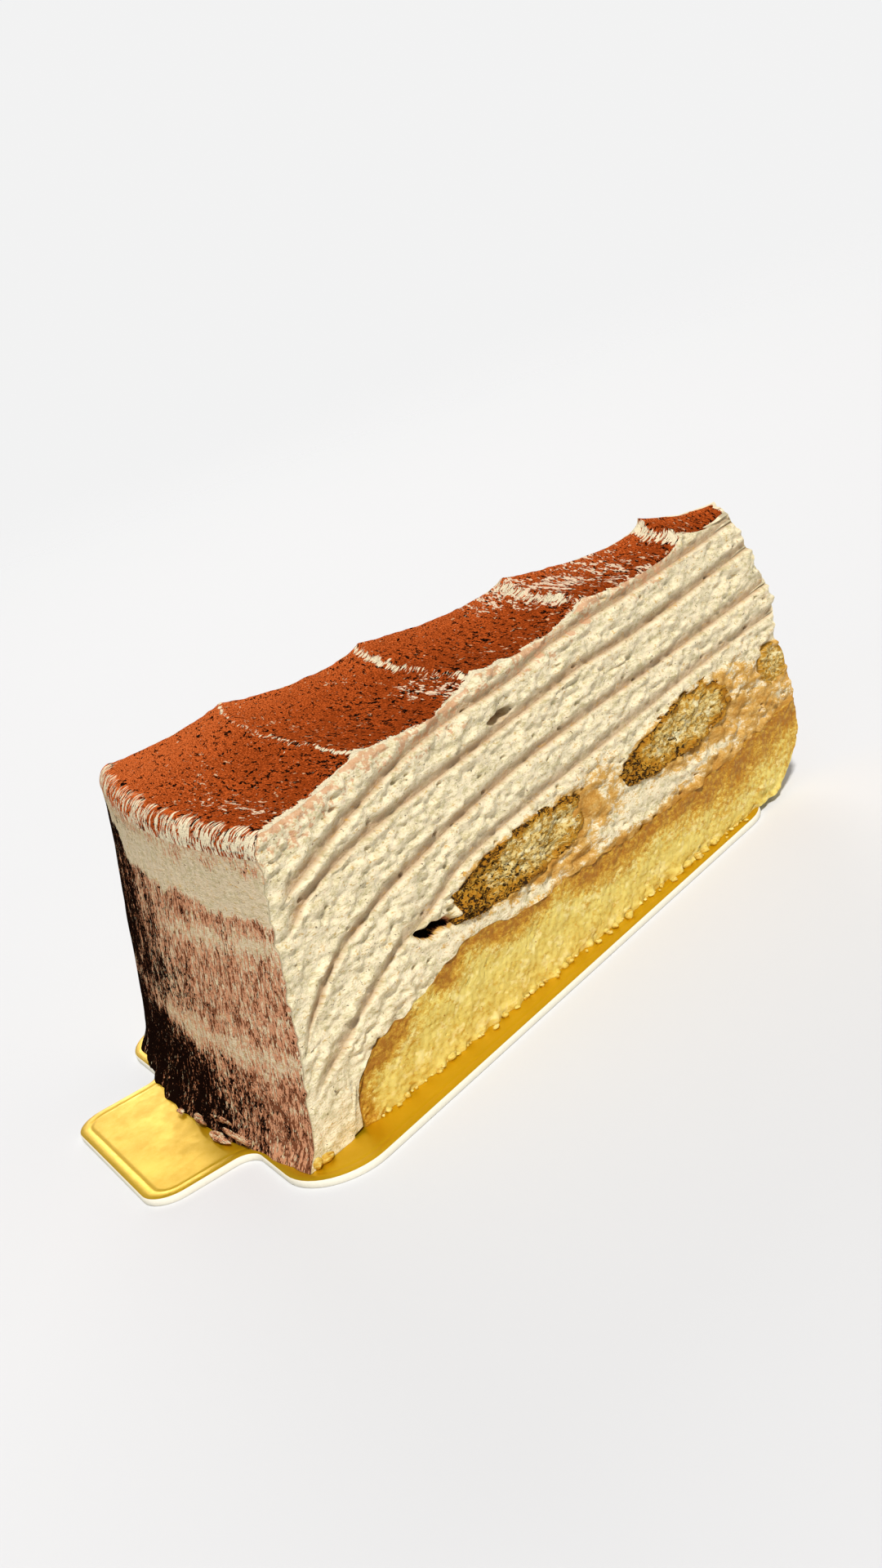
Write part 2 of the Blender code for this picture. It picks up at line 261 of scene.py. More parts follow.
class Graph:
    """A node tree, with a short name for each thing that the finishes do to it."""

    def __init__(self, tree):
        self.tree = tree

    def fill(self, socket, value):
        """Links an input to a field or a socket, or sets it to a number, a vector or an opaque colour."""
        value = value.socket if isinstance(value, Field) else value
        if isinstance(value, bpy.types.NodeSocket):
            self.tree.links.new(value, socket)
        else:
            socket.default_value = (*value, 1.0) if socket.type == "RGBA" else value

    def add(self, kind, inputs, **settings):
        node = self.tree.nodes.new(kind)
        for key, value in settings.items():
            setattr(node, key, value)
        for key, value in inputs.items():
            self.fill(node.inputs[key], value)
        return node.outputs

    def maths(self, operation, a, b):
        return Field(self, self.add("ShaderNodeMath", {0: a, 1: b}, operation=operation)[0])

    def noise(self, vector, scale, detail):
        inputs = {"Vector": vector, "Scale": scale, "Detail": detail}
        return Field(self, self.add("ShaderNodeTexNoise", inputs)["Fac"])

    def ramp(self, value, low, high, out_low=0.0, out_high=1.0, way="SMOOTHSTEP"):
        """Maps value from low..high to out_low..out_high, along a smooth step or a straight line."""
        inputs = {0: value, 1: low, 2: high, 3: out_low, 4: out_high}
        return Field(self, self.add("ShaderNodeMapRange", inputs, interpolation_type=way)[0])

    def blend(self, share, a, b):
        """Colour a where share is 0 and b where it is 1."""
        return self.add("ShaderNodeMix", {0: share, 6: a, 7: b}, data_type="RGBA")[2]


def grain_group():
    """Rough grain round a half: noise at one size plus two thirds as much at a third of the size."""
    tree = bpy.data.node_groups.new("grain", "ShaderNodeTree")
    tree.interface.new_socket("Vector", in_out="INPUT", socket_type="NodeSocketVector")
    tree.interface.new_socket("Size", in_out="INPUT", socket_type="NodeSocketFloat")
    tree.interface.new_socket("Value", in_out="OUTPUT", socket_type="NodeSocketFloat")
    graph = Graph(tree)
    given = graph.add("NodeGroupInput", {})
    scale = graph.maths("DIVIDE", 1.0, given["Size"])
    coarse = graph.noise(given["Vector"], scale, 2.0)
    finer = graph.noise(given["Vector"], scale * 3.1, 1.0)
    graph.add("NodeGroupOutput", {"Value": finer * 0.5 + coarse * 0.75 - 0.125})
    return tree


GRAIN = grain_group()
LIGHT_REACH = (1.0, 0.6, 0.3)
LIGHT_DEPTH = 1.2 * MM


class Finish(Graph):
    """A material: its uniform values sit on the Principled shader, and its graph makes the rest."""

    def __init__(self, name, roughness, gloss, subsurface=0.0, metallic=0.0):
        self.material = bpy.data.materials.new(name)
        self.material.use_nodes = True
        super().__init__(self.material.node_tree)
        for key, value in (("Roughness", roughness), ("Specular IOR Level", gloss), ("Metallic", metallic),
                           ("Subsurface Weight", subsurface), ("Subsurface Radius", LIGHT_REACH),
                           ("Subsurface Scale", LIGHT_DEPTH)):
            self.feed(key, value)

    def feed(self, key, value):
        """Fills an input of the Principled shader."""
        self.fill(self.tree.nodes["Principled BSDF"].inputs[key], value)

    def attribute(self, name):
        return Field(self, self.add("ShaderNodeAttribute", {}, attribute_name=name)["Fac"])

    def surface_uv(self, scale_u=1.0, scale_v=1.0):
        """The piece's own millimetre map, with each direction stretched by its own factor."""
        uv = self.add("ShaderNodeUVMap", {}, uv_map="surface")[0]
        return self.add("ShaderNodeVectorMath", {0: uv, 1: (scale_u, scale_v, 1.0)}, operation="MULTIPLY")[0]

    def object_mm(self):
        """Object coordinates in millimetres."""
        at = self.add("ShaderNodeTexCoord", {})["Object"]
        return self.add("ShaderNodeVectorMath", {0: at, "Scale": 1 / MM}, operation="SCALE")[0]

    def grain(self, vector, size):
        return Field(self, self.add("ShaderNodeGroup", {"Vector": vector, "Size": size}, node_tree=GRAIN)[0])

    def streaks(self, density, stretch, size):
        """Powder over a share of the surface: stretched grain, cut off lower the denser it lies."""
        level = self.ramp(density, 0.0, 1.0, 0.74, 0.28, "LINEAR")
        return self.ramp(self.grain(self.surface_uv(*stretch), size) - level, -0.02, 0.02)

    def bump(self, height, strength, distance_mm):
        inputs = {"Height": height, "Strength": strength, "Distance": distance_mm * MM}
        self.feed("Normal", self.add("ShaderNodeBump", inputs)[0])


# %% [markdown]
# ## Finishes
# Cream is nearly white with a warm shadow, so light is let a little way into it. In the grooves of the cuts
# it is pinker and darkened with painted shade, its air hole and the whole outer wall are greyed with painted
# shade, and coffee that soaked out of the sponge fingers stains it amber. On the outer wall cocoa powder
# clings to it in upright streaks, with black on the far, lower side that is partly thick cocoa and partly
# painted shade.

# %% Colours, as linear red, green and blue
CREAM_LIGHT = (0.81, 0.71, 0.49)
CREAM_SHADE = (0.50, 0.43, 0.235)
# Pinkish groove tint, darkened as painted shade; also the painted shade of the air hole and the outer wall.
GROOVE_TINT_AND_SHADE = (0.42, 0.27, 0.15)
CREAM_FLECK = (0.085, 0.05, 0.025)
COFFEE_STAIN = (0.58, 0.33, 0.075)
COFFEE_DEEP = (0.40, 0.18, 0.025)
# Painted sheen on the powder, mostly towards the far cut and the wall.
COCOA_SHEEN = (0.63, 0.145, 0.036)
COCOA_LIGHT = (0.50, 0.091, 0.016)
COCOA_DARK = (0.23, 0.036, 0.005)
# Black of thick cocoa and of painted shade on the wall, and of painted shadow specks on the cocoa.
COCOA_AND_SHADOW_BLACK = (0.007, 0.003, 0.002)
COCOA_FLECK = (0.80, 0.60, 0.42)
COCOA_TINTED = (0.62, 0.33, 0.17)
COCOA_SMUDGE = (0.56, 0.29, 0.15)
WALL_DUST = (0.55, 0.26, 0.14)
WALL_DARK = (0.17, 0.058, 0.026)
SPONGE_PALE = (0.76, 0.64, 0.25)
SPONGE_AMBER = (0.52, 0.29, 0.030)
SPONGE_LIGHT = (0.69, 0.555, 0.15)
SPONGE_SHADE = (0.59, 0.445, 0.09)
SPONGE_SOAKED = (0.33, 0.13, 0.010)
FINGER_SPONGY = (0.76, 0.69, 0.42)
FINGER_PALE = (0.64, 0.49, 0.19)
FINGER_SHADE = (0.38, 0.21, 0.030)
FINGER_AMBER = (0.46, 0.24, 0.026)
FINGER_SOAKED = (0.36, 0.145, 0.010)
FINGER_BLACK = (0.035, 0.015, 0.003)
GOLD = (0.77, 0.47, 0.004)
CARD = (0.86, 0.82, 0.68)


# %% Cream
def cream_finish():
    """Cream: light and shade by fine grain, then masks laid over it in turn: a pinkish groove tint with
    painted shade, coffee, and cocoa whose black is partly painted shade.
    """
    cream = Finish("whipped_cream", 0.7, 0.0, 0.1)
    dust = cream.attribute("dust")
    cream.feed("Coat Roughness", 0.38)
    cream.feed("Coat Weight", cream.ramp(dust, 0.0, 0.2, 0.16, 0.0))
    uv = cream.surface_uv()
    fine = cream.grain(cream.surface_uv(0.55, 1.0), 0.62)
    blotch = cream.grain(cream.surface_uv(0.7, 1.0), 2.4)
    colour = cream.blend(cream.ramp(fine * 0.6 + blotch * 0.4, 0.33, 0.58), CREAM_SHADE, CREAM_LIGHT)
    colour = cream.blend(cream.streaks(0.125, (0.8, 1.0), 0.75) * 0.8, colour, CREAM_FLECK)
    # A pinkish tint with painted shade in the grooves, painted shade in the air hole, and an even painted
    # shade over the wall.
    groove = cream.attribute("groove") * cream.ramp(blotch, 0.3, 0.6, 0.6, 1.0)
    colour = cream.blend(groove, colour, GROOVE_TINT_AND_SHADE)
    # Coffee creeps along the fine grain, and is deepest where the stain is strongest.
    soaked = cream.attribute("stain") + (blotch - 0.5) - (fine - 0.5) * 1.6
    colour = cream.blend(cream.ramp(soaked, 0.12, 0.6, 0.0, 0.95), colour, COFFEE_STAIN)
    colour = cream.blend(cream.ramp(soaked, 0.55, 1.05, 0.0, 0.8), colour, COFFEE_DEEP)
    # Cocoa dragged by the knife lies in rosy patches.
    dragged = cream.attribute("smudge")
    smudge = cream.ramp((cream.grain(uv, 1.9) - 0.5) * 4.6 + dragged, 0.4, 0.95, 0.0, 0.8)
    colour = cream.blend(smudge * cream.ramp(dragged, 0.02, 0.2), colour, COCOA_SMUDGE)
    # Cocoa on the wall: a pale dust, darker streaks in it, and black that is partly thick cocoa and partly
    # painted shade on the far, lower side, with painted shade in the pocket of the cut.
    patch = cream.grain(cream.surface_uv(1.0, 0.5), 4.5) - 0.5
    density = dust * (patch * 1.3 + 1.0)
    tone = cream.blend(cream.streaks(density * 0.67, (0.9, 0.3), 0.5), WALL_DUST, WALL_DARK)
    cocoa_and_shade_black = cream.streaks(cream.attribute("dark") + patch * 1.2, (0.9, 0.6), 0.6)
    tone = cream.blend(cocoa_and_shade_black, tone, COCOA_AND_SHADOW_BLACK)
    cream.feed("Base Color", cream.blend(cream.streaks(density, (1.0, 0.24), 0.42), colour, tone))
    cream.bump(cream.grain(uv, 0.4) * 0.5 + fine * 0.8, 0.75, 0.4)
    return cream.material


# %% Cocoa
def cocoa_finish():
    """Cocoa: rust-brown powder with painted sheen and shade, black specks of painted shadow, cream specks,
    and streaked cream where a crest is bare.
    """
    cocoa = Finish("cocoa_powder", 0.95, 0.0)
    powder = cocoa.grain(cocoa.surface_uv(0.6, 1.4), 0.34)
    broad = cocoa.grain(cocoa.surface_uv(), 9.0) - 0.5
    painted_shade = cocoa.attribute("painted_shade")
    # Painted shade darkens the powder towards the near cut, and painted sheen lightens it towards the far cut
    # and the wall.
    shade = powder + broad * 0.3 - painted_shade * 0.12
    colour = cocoa.blend(cocoa.ramp(shade, 0.38, 0.52), COCOA_DARK, COCOA_LIGHT)
    colour = cocoa.blend(cocoa.ramp(powder - painted_shade * 0.4, 0.36, 0.62), colour, COCOA_SHEEN)
    # Black specks of painted shadow in the powder: many small ones in drifts, and a few large ones anywhere.
    small = cocoa.streaks(broad * 0.6 + painted_shade * 0.12 + 0.25, (0.5, 1.2), 0.8)
    black = cocoa.maths("MAXIMUM", small, cocoa.streaks(0.185, (0.6, 1.0), 1.6))
    colour = cocoa.blend(black, colour, COCOA_AND_SHADOW_BLACK)
    # Cream flecks are tinted where they are few, and paler in a thick cluster.
    bare = cocoa.attribute("bare")
    fleck = cocoa.streaks(bare, (0.45, 1.2), 1.25) * cocoa.ramp(bare, 0.02, 0.1)
    tint = cocoa.blend(cocoa.ramp(bare, 0.12, 0.42), COCOA_TINTED, COCOA_FLECK)
    colour = cocoa.blend(fleck, colour, tint)
    step = cocoa.streaks(cocoa.attribute("step"), (1.0, 0.19), 0.55)
    smear = cocoa.streaks(cocoa.attribute("smear"), (1.0, 0.6), 0.9)
    cocoa.feed("Base Color", cocoa.blend(cocoa.maths("MAXIMUM", step, smear), colour, CREAM_LIGHT))
    cocoa.bump(powder + fleck * 0.5 - black * 0.6, 0.8, 0.35)
    return cocoa.material


# %% Crumb
def crumb_finish(name, colours, gloss, fine_share, contrast, relief):
    """Open crumb: light and shade by grain, pale spots, darker where soaked, and burnt flecks."""
    pale, light, shade, amber, soaked, burnt = colours
    crumb = Finish(name, 0.5, gloss, 0.1)
    uv = crumb.surface_uv(0.62, 1.0)
    fine = crumb.grain(uv, 0.6)
    blotch = crumb.grain(uv, 2.2)
    tone = fine * fine_share + blotch * (1 - fine_share)
    colour = crumb.blend(crumb.ramp(tone, 0.49 - contrast, 0.49 + contrast), shade, light)
    colour = crumb.blend(crumb.ramp(crumb.grain(uv, 2.0), 0.52, 0.64, 0.0, 0.85), colour, pale)
    wet = crumb.attribute("soak") - (fine - 0.5) * 2.0 - (blotch - 0.5) * 1.2
    colour = crumb.blend(crumb.ramp(wet, 0.05, 0.7), colour, amber)
    colour = crumb.blend(crumb.ramp(wet, 0.5, 1.25), colour, soaked)
    speck = crumb.streaks(crumb.attribute("burnt"), (0.8, 1.1), 0.7)
    crumb.feed("Base Color", crumb.blend(speck, colour, burnt))
    crumb.bump(tone - speck * 0.5, relief, 0.6)
    return crumb.material


# %% Board
def darker(colour, share):
    return tuple(share * channel for channel in colour)


def gold_finish():
    """Foil: a cloudy tint, with scuffs in its roughness."""
    gold = Finish("gold_foil", 0.3, 0.5, metallic=0.75)
    cloud = gold.grain(gold.object_mm(), 9.0)
    scuff = gold.grain(gold.object_mm(), 0.8)
    gold.feed("Base Color", gold.blend(cloud, GOLD, darker(GOLD, 0.85)))
    gold.feed("Roughness", gold.ramp(cloud + scuff, 0.6, 1.4, 0.34, 0.5))
    gold.bump(cloud, 0.12, 0.4)
    return gold.material


def card_finish():
    """Card: fine fibres, in its colour and its relief."""
    card = Finish("white_card", 0.7, 0.5)
    fibre = card.grain(card.object_mm(), 0.5)
    card.feed("Base Color", card.blend(fibre, CARD, darker(CARD, 0.88)))
    card.bump(fibre, 0.2, 0.1)
    return card.material


SPONGE_COLOURS = (SPONGE_PALE, SPONGE_LIGHT, SPONGE_SHADE, SPONGE_AMBER, SPONGE_SOAKED, SPONGE_SOAKED)
FINGER_COLOURS = (FINGER_SPONGY, FINGER_PALE, FINGER_SHADE, FINGER_AMBER, FINGER_SOAKED, FINGER_BLACK)
FINISH = {
    "cream": cream_finish(),
    "cocoa": cocoa_finish(),
    "sponge": crumb_finish("sponge_crumb", SPONGE_COLOURS, 0.2, 0.3, 0.14, 0.35),
    "finger_crumb": crumb_finish("finger_crumb", FINGER_COLOURS, 0.06, 0.7, 0.06, 1.0),
    "gold_card": gold_finish(),
    "card": card_finish(),
}
print("finishes:", sorted(FINISH))


# %% [markdown]
# ## Relief
# A real cut face isn't flat. The knife pulls whipped cream into small bumps drawn out along the layers,
# opens its air bubbles as pits, and leaves a shallow groove where two spread layers meet. Each effect is
# a height worked out from radius and height, so that neighbouring layers agree along their shared edge.

# %% Heights of the cut faces, wall and tip
GROOVES = ((LINE_A, 1.0), (LINE_B, 1.0), (LINE_C, 1.0), (LINE_D, 0.85))
GROOVE_DEEP = 0.75
GROOVE_WIDE = 2.3
UNDERCUT = 0.35


def groove_gaps(radius, height):
    """Height above each layer line, with the line's strength, which fades out before the wall."""
    for line, strength in GROOVES:
        end = line[-1][0]
        yield height - along(line, radius), strength * (1 - smooth_step(end - 7, end - 1.5, radius))


def groove_shape(radius, height):
    """Closeness to a layer line, 0 to 1: it grows slowly down to the line and ends sharply under it."""
    total = np.zeros(np.broadcast(radius, height).shape)
    for gap, strength in groove_gaps(radius, height):
        above = 1 - smooth_step(0.25, GROOVE_WIDE, gap)
        below = 1 - smooth_step(0, UNDERCUT, -gap)
        total = np.maximum(total, strength * np.where(gap > 0, above, below))
    return total


def ridge_height(radius, height):
    """Soft swellings above and below each layer line, where the spreader pushed the cream up."""
    total = np.zeros(np.broadcast(radius, height).shape)
    above = 0.06 + 0.26 * smooth_step(70.0, 100.0, radius)
    for gap, strength in groove_gaps(radius, height):
        total = total + strength * above * np.exp(-((gap - 2.4) / 0.8) ** 2)
        total = total + strength * 0.10 * np.exp(-((gap + 0.8) / 0.45) ** 2)
    return total


def cream_relief(radius, height, side):
    """Cut cream: broad swells, drawn-out bumps and small ones, less pits, grooves and a rounded top edge."""
    s = 37.0 * side
    smooth = 1 - 0.7 * smooth_step(0.0, 0.45, lumps(radius * 0.45, height, s, 5.0, 5))
    swell = 0.30 * lumps(radius, height, s, 8.0, 1)
    drawn = 0.58 * lumps(radius * 0.45, height, s, 1.35, 2)
    small = 0.50 * lumps(radius * 0.6, height, s, 0.8, 3)
    gap, value = pores(radius * 0.6 + 90 * side, height, 2.6, 4)
    pit = 0.7 * (value < 0.16) * (1 - smooth_step(0.06, 0.16, gap))
    groove = groove_shape(radius, height)
    calm = 1 - 0.65 * smooth_step(100.0, 112.0, radius) * (1 - smooth_step(4.0, 9.0, height))
    bumps = (drawn + small) * smooth * calm * (1 - 0.85 * groove)
    rounded = 0.7 * np.exp(-np.maximum(top_height(radius) - COCOA - height, 0) / 0.5)
    return swell + bumps - pit - GROOVE_DEEP * groove + ridge_height(radius, height) - rounded


def crumb_relief(radius, height, side):
    """Cut sponge: rounded crumbs about a millimetre wide with open pores between them."""
    s = 53.0 * side
    gap, value = pores(radius + 70 * side, height, 1.15, 21)
    fine, _ = pores(radius + 90 * side, height, 0.55, 22)
    foot = 0.9 * (1 - smooth_step(0.3, 1.6, height)) * np.maximum(lumps(radius, height, s, 1.5, 24), -0.2)
    return (0.32 * lumps(radius, height, s, 2.6, 23) + 0.22 * (0.55 - gap) + 0.08 * (0.5 - fine) + foot
            - 0.28 * (value > 0.8) * (1 - smooth_step(0.1, 0.4, gap)))


def wall_relief(angle, height):
    """The spread outer wall: broad swells, faint upright drag marks, and a lumpy foot."""
    arc = angle * WALL_RADIUS
    broad = 0.35 * lumps(arc, height, 0, 17.0, 31)
    drag = 0.09 * lumps(arc, height * 0.15, 0, 0.8, 32)
    foot = 0.5 * (1 - smooth_step(1.0, 5.0, height)) * lumps(arc, height, 0, 3.5, 33)
    return broad + drag + foot - 0.35


TIP_PROUD = 0.15


def tip_relief(angle, height):
    """The ragged tip: lumps a few millimetres across."""
    ragged = 0.9 * lumps(angle * 20, height, 0, 3.2, 41) + 0.4 * lumps(angle * 20, height, 0, 1.2, 42) - 0.3
    return np.minimum(ragged, TIP_PROUD)


# %% [markdown]
# ## One layer of the wedge
# A layer shows only round its edge, so its fine grid is a ring: along the near cut, round the wall, back
# along the far cut and across the tip. The hidden top and bottom are caps of long faces. A cap's inner
# points are tucked in from the wall and the tip, so that none stands out where relief sinks the ring.

# %% The ring of a layer
CUT_STEPS = 480
WALL_STEPS = 160
TIP_STEPS = 8
CAP_TUCK = 1.6
CAP_FADE = 5.0
END_FADE = 0.04
MIDDLE_RADIUS = 60.0
ROUNDS = 14


def ring_stations():
    """Round the ring: place along the radius, 0 at the tip and 1 at the wall, and across, from -1 to 1."""
    run = np.linspace(0, 1, CUT_STEPS + 1)
    across = np.linspace(-1, 1, WALL_STEPS + 1)[1:-1]
    back = np.linspace(1, -1, TIP_STEPS + 1)[1:-1]
    u = np.concatenate([run, np.ones(len(across)), run[::-1], np.zeros(len(back))])
    v = np.concatenate([-np.ones(len(run)), across, np.ones(len(run)), back])
    return u, v


def tip_edge(height):
    return along(TIP_EDGE, height)


def wall_edge(height):
    return along(WALL_EDGE, height)


def layer_points(lower, upper, outer, u, w):
    """Radius and height at a share u of the way out and w of the way up, by repeated substitution."""
    height = 0.5 * (lower(MIDDLE_RADIUS) + upper(MIDDLE_RADIUS)) + 0 * (u + w)
    for _ in range(ROUNDS):
        radius = tip_edge(height) + (outer(height) - tip_edge(height)) * u
        height = lower(radius) + (upper(radius) - lower(radius)) * w
    return radius, height


def ring_points(radius, angle, height, u, v, relief, end_relief):
    """The ring in part space: cuts pushed out by relief, the wall by its own, and the tip by its lumps."""
    moved = radius + smooth_step(1 - END_FADE, 1.0, u) * end_relief(angle, height)
    moved = moved - (1 - smooth_step(0.0, END_FADE, u)) * tip_relief(angle, height)
    face = np.where(np.abs(v) == 1, relief(radius, height, v), 0.0)
    return push_off_cut(place(moved, angle, height), face, np.sign(v))


def cap_points(radius, height, outer):
    """The points inside a cap, with their map."""
    across = np.linspace(-1, 1, TIP_STEPS + 1)[1:-1]
    r = radius[1:CUT_STEPS, None] + 0 * across
    z = height[1:CUT_STEPS, None] + 0 * across
    tucked = r - CAP_TUCK * smooth_step(outer(z) - CAP_FADE, outer(z), r)
    tucked = tucked + CAP_TUCK * (1 - smooth_step(tip_edge(z), tip_edge(z) + CAP_FADE, r))
    return place(tucked, HALF_ANGLE * across + 0 * r, z).reshape(-1, 3), np.stack([r, z], -1).reshape(-1, 2)


def cap_faces(ring_row, count, turn):
    """A grid between the two cuts, with new points from count on, and long faces from it to the wall."""
    near, wall, far, back = np.split(ring_row, np.cumsum([CUT_STEPS, WALL_STEPS + 1, CUT_STEPS]))
    grid = np.empty((CUT_STEPS, TIP_STEPS + 1), int)
    grid[:, 0] = near
    grid[:, -1] = far[::-1]
    grid[0, 1:-1] = back[::-1]
    grid[1:, 1:-1] = count + np.arange((CUT_STEPS - 1) * (TIP_STEPS - 1)).reshape(CUT_STEPS - 1, -1)
    quads = np.stack([grid[:-1, :-1], grid[1:, :-1], grid[1:, 1:], grid[:-1, 1:]], -1).reshape(-1, 4)
    step = WALL_STEPS // TIP_STEPS
    strips = [np.array([grid[-1, k], *wall[k * step:(k + 1) * step + 1], grid[-1, k + 1]])
              for k in range(TIP_STEPS)]
    return quads[:, ::turn], [strip[::turn] for strip in strips]


def layer_piece(name, lower, upper, rows, relief, slot, values, outer=wall_edge, end_relief=wall_relief):
    """A closed layer: a fine ring with relief along each face's own normal, and two coarse hidden caps."""
    u, v = ring_stations()
    radius, height = layer_points(lower, upper, outer, u, np.linspace(0, 1, rows + 1)[:, None])
    u, v = u + 0 * radius, v + 0 * radius
    angle = HALF_ANGLE * v
    arc = np.where(u == 1, angle * WALL_RADIUS, (radius + FAR_MAP) * np.sign(v))
    ring = np.arange(radius.size).reshape(radius.shape)
    turn = np.roll(ring, -1, axis=1)
    points = [ring_points(radius, angle, height, u, v, relief, end_relief).reshape(-1, 3)]
    maps = [np.stack([arc, height], -1).reshape(-1, 2)]
    quads = [np.stack([ring[:-1], turn[:-1], turn[1:], ring[1:]], -1).reshape(-1, 4)]
    strips = []
    for row, way in ((0, -1), (-1, 1)):
        grid_faces, wall_faces = cap_faces(ring[row], sum(len(part) for part in points), way)
        quads.append(grid_faces)
        strips += wall_faces
        inside, inside_map = cap_points(radius[row], height[row], outer)
        points.append(inside)
        maps.append(inside_map)
    hidden = np.zeros(sum(len(part) for part in points) - ring.size)
    filled = {key: np.append(value(radius, angle, height, u, v), hidden) for key, value in values.items()}
    return make_piece("dressed_" + name, np.concatenate(points), np.concatenate(quads), strips, slot,
                      FINISH[slot], filled, np.concatenate(maps), name, ring[[0, -1]].ravel())


# %% [markdown]
# ## Where coffee, cocoa and painted shade have gone
# These functions say how stained, dusted or grooved each spot of cream is, and where shade is painted on it.
# Coffee spreads from the sponge fingers and thins out with distance, most of all towards the tip. Cocoa fell
# on the outer wall in bands.

# %% Stain and dust over the cream
def finger_gap(radius, height, name):
    """Distance, about, from a finger's outline: its oval's measure less one, times half its thickness."""
    r0, z0, half_width, half_thickness, swelling, tilt = FINGERS[name]
    x = (radius - r0) * math.cos(tilt) - (height - z0) * math.sin(tilt)
    z = (radius - r0) * math.sin(tilt) + (height - z0) * math.cos(tilt)
    z = z / (1 - swelling * np.clip(x / half_width, -1.2, 1.2))
    n = FINGER_SQUARENESS
    measure = (np.abs(x / half_width) ** n + np.abs(z / half_thickness) ** n) ** (1 / n)
    return (measure - 1) * half_thickness


def pocket_shape(radius, height):
    """The dark hollow at the outer end of the first finger, from 0 to 1."""
    torn = 0.2 * (radius - 97.0) + 0.45 * lumps(radius, height, 0, 1.5, 66)
    return np.exp(-(((radius - 97.0) / 3.9) ** 2 + ((height - 18.8 - torn) / 0.9) ** 2) ** 2)


def air_hole(radius, height):
    """The long air hole in the second band, from 0 to 1."""
    return np.exp(-(((radius - 72.0) / 2.9) ** 2 + ((height - 41.3) / 0.75) ** 2) ** 3)


def nearest_finger(radius, height):
    return np.min([finger_gap(radius, height, name) for name in FINGERS], axis=0)


def finger_halo(radius, height, name):
    """Coffee round one finger: it reaches a little way above, and further below and towards the tip."""
    r0, z0, half_width, half_thickness = FINGERS[name][:4]
    towards = 0.75 * (r0 - radius) / half_width + 0.55 * (z0 - height) / half_thickness
    reach = 0.35 + 2.3 * smooth_step(-0.2, 1.0, towards)
    gap = np.maximum(finger_gap(radius, height, name), 0)
    return (0.55 + 0.4 * smooth_step(-0.2, 0.8, towards)) * np.exp(-(gap / reach) ** 2)


def stain_of(radius, angle, height, u, v):
    """Coffee near the fingers, over the sponge and low towards the tip, with less in one clean streak."""
    patchy = 0.8 + 0.5 * lumps(radius, height, v * 3.0, 3.0, 55)
    halo = np.max([finger_halo(radius, height, name) for name in FINGERS], axis=0)
    halo = halo * (0.85 + 0.75 * lumps(radius, height, v * 5.0, 1.9, 56))
    low = 0.72 * patchy * (1 - smooth_step(16.5, 23.0, height + 0.03 * radius))
    low = low * (1 - smooth_step(30.0, 60.0, radius))
    over_sponge = np.maximum(height - along(SPONGE_TOP, radius), 0)
    above = np.exp(-over_sponge / 1.0) * 0.7 * (0.7 + 0.6 * lumps(radius, height, v * 7.0, 5.0, 59))
    above = above + 0.75 * np.exp(-(over_sponge / 1.6) ** 2) * (1 - smooth_step(58.0, 84.0, radius)) * patchy
    clean = np.exp(-((height - 14.6 + 0.01 * radius) / 1.0) ** 2) * smooth_step(18.0, 30.0, radius) * 0.42
    between = 0.5 * np.exp(-(((radius - 57.0) / 5.0) ** 2 + ((height - 23.0) / 2.4) ** 2))
    drip = 0.95 * np.exp(-(((radius - 67.0) / 5.5) ** 2 + ((height - 13.9) / 1.8) ** 2))
    reach = 1 - smooth_step(88.0, 98.0, radius)
    stain = np.maximum.reduce([halo - 0.7 * clean, low - clean, above - clean, between, drip]) * reach
    return np.clip(np.maximum(stain, 1.3 * pocket_shape(radius, height)), 0, 1.3)


def groove_tint_and_shade_of(radius, angle, height, u, v):
    """Pinkish tint and painted shade in the grooves of the cuts, painted shade in the air hole, and an even
    grey of painted shade over the wall.
    """
    on_cut = np.maximum(groove_shape(radius, height) * 0.9, air_hole(radius, height))
    # The wall's even grey is painted shade.
    return np.where(np.abs(v) == 1, on_cut, np.where(u == 1, 0.42, 0.0))


def smudge_of(radius, angle, height, u, v):
    """Cocoa dragged by the knife over the top few millimetres of each cut, most towards the wall."""
    below_top = top_height(radius) - COCOA - height
    strip = 0.78 * np.exp(-(below_top / 0.9) ** 2) + 0.52 * (1 - smooth_step(1.5, 5.5, below_top))
    strip = strip * (0.8 + 0.7 * lumps(radius, height, v, 4.0, 57)) * smooth_step(10.0, 50.0, radius)
    return np.where(np.abs(v) == 1, np.clip(strip, 0, 1), 0.0)


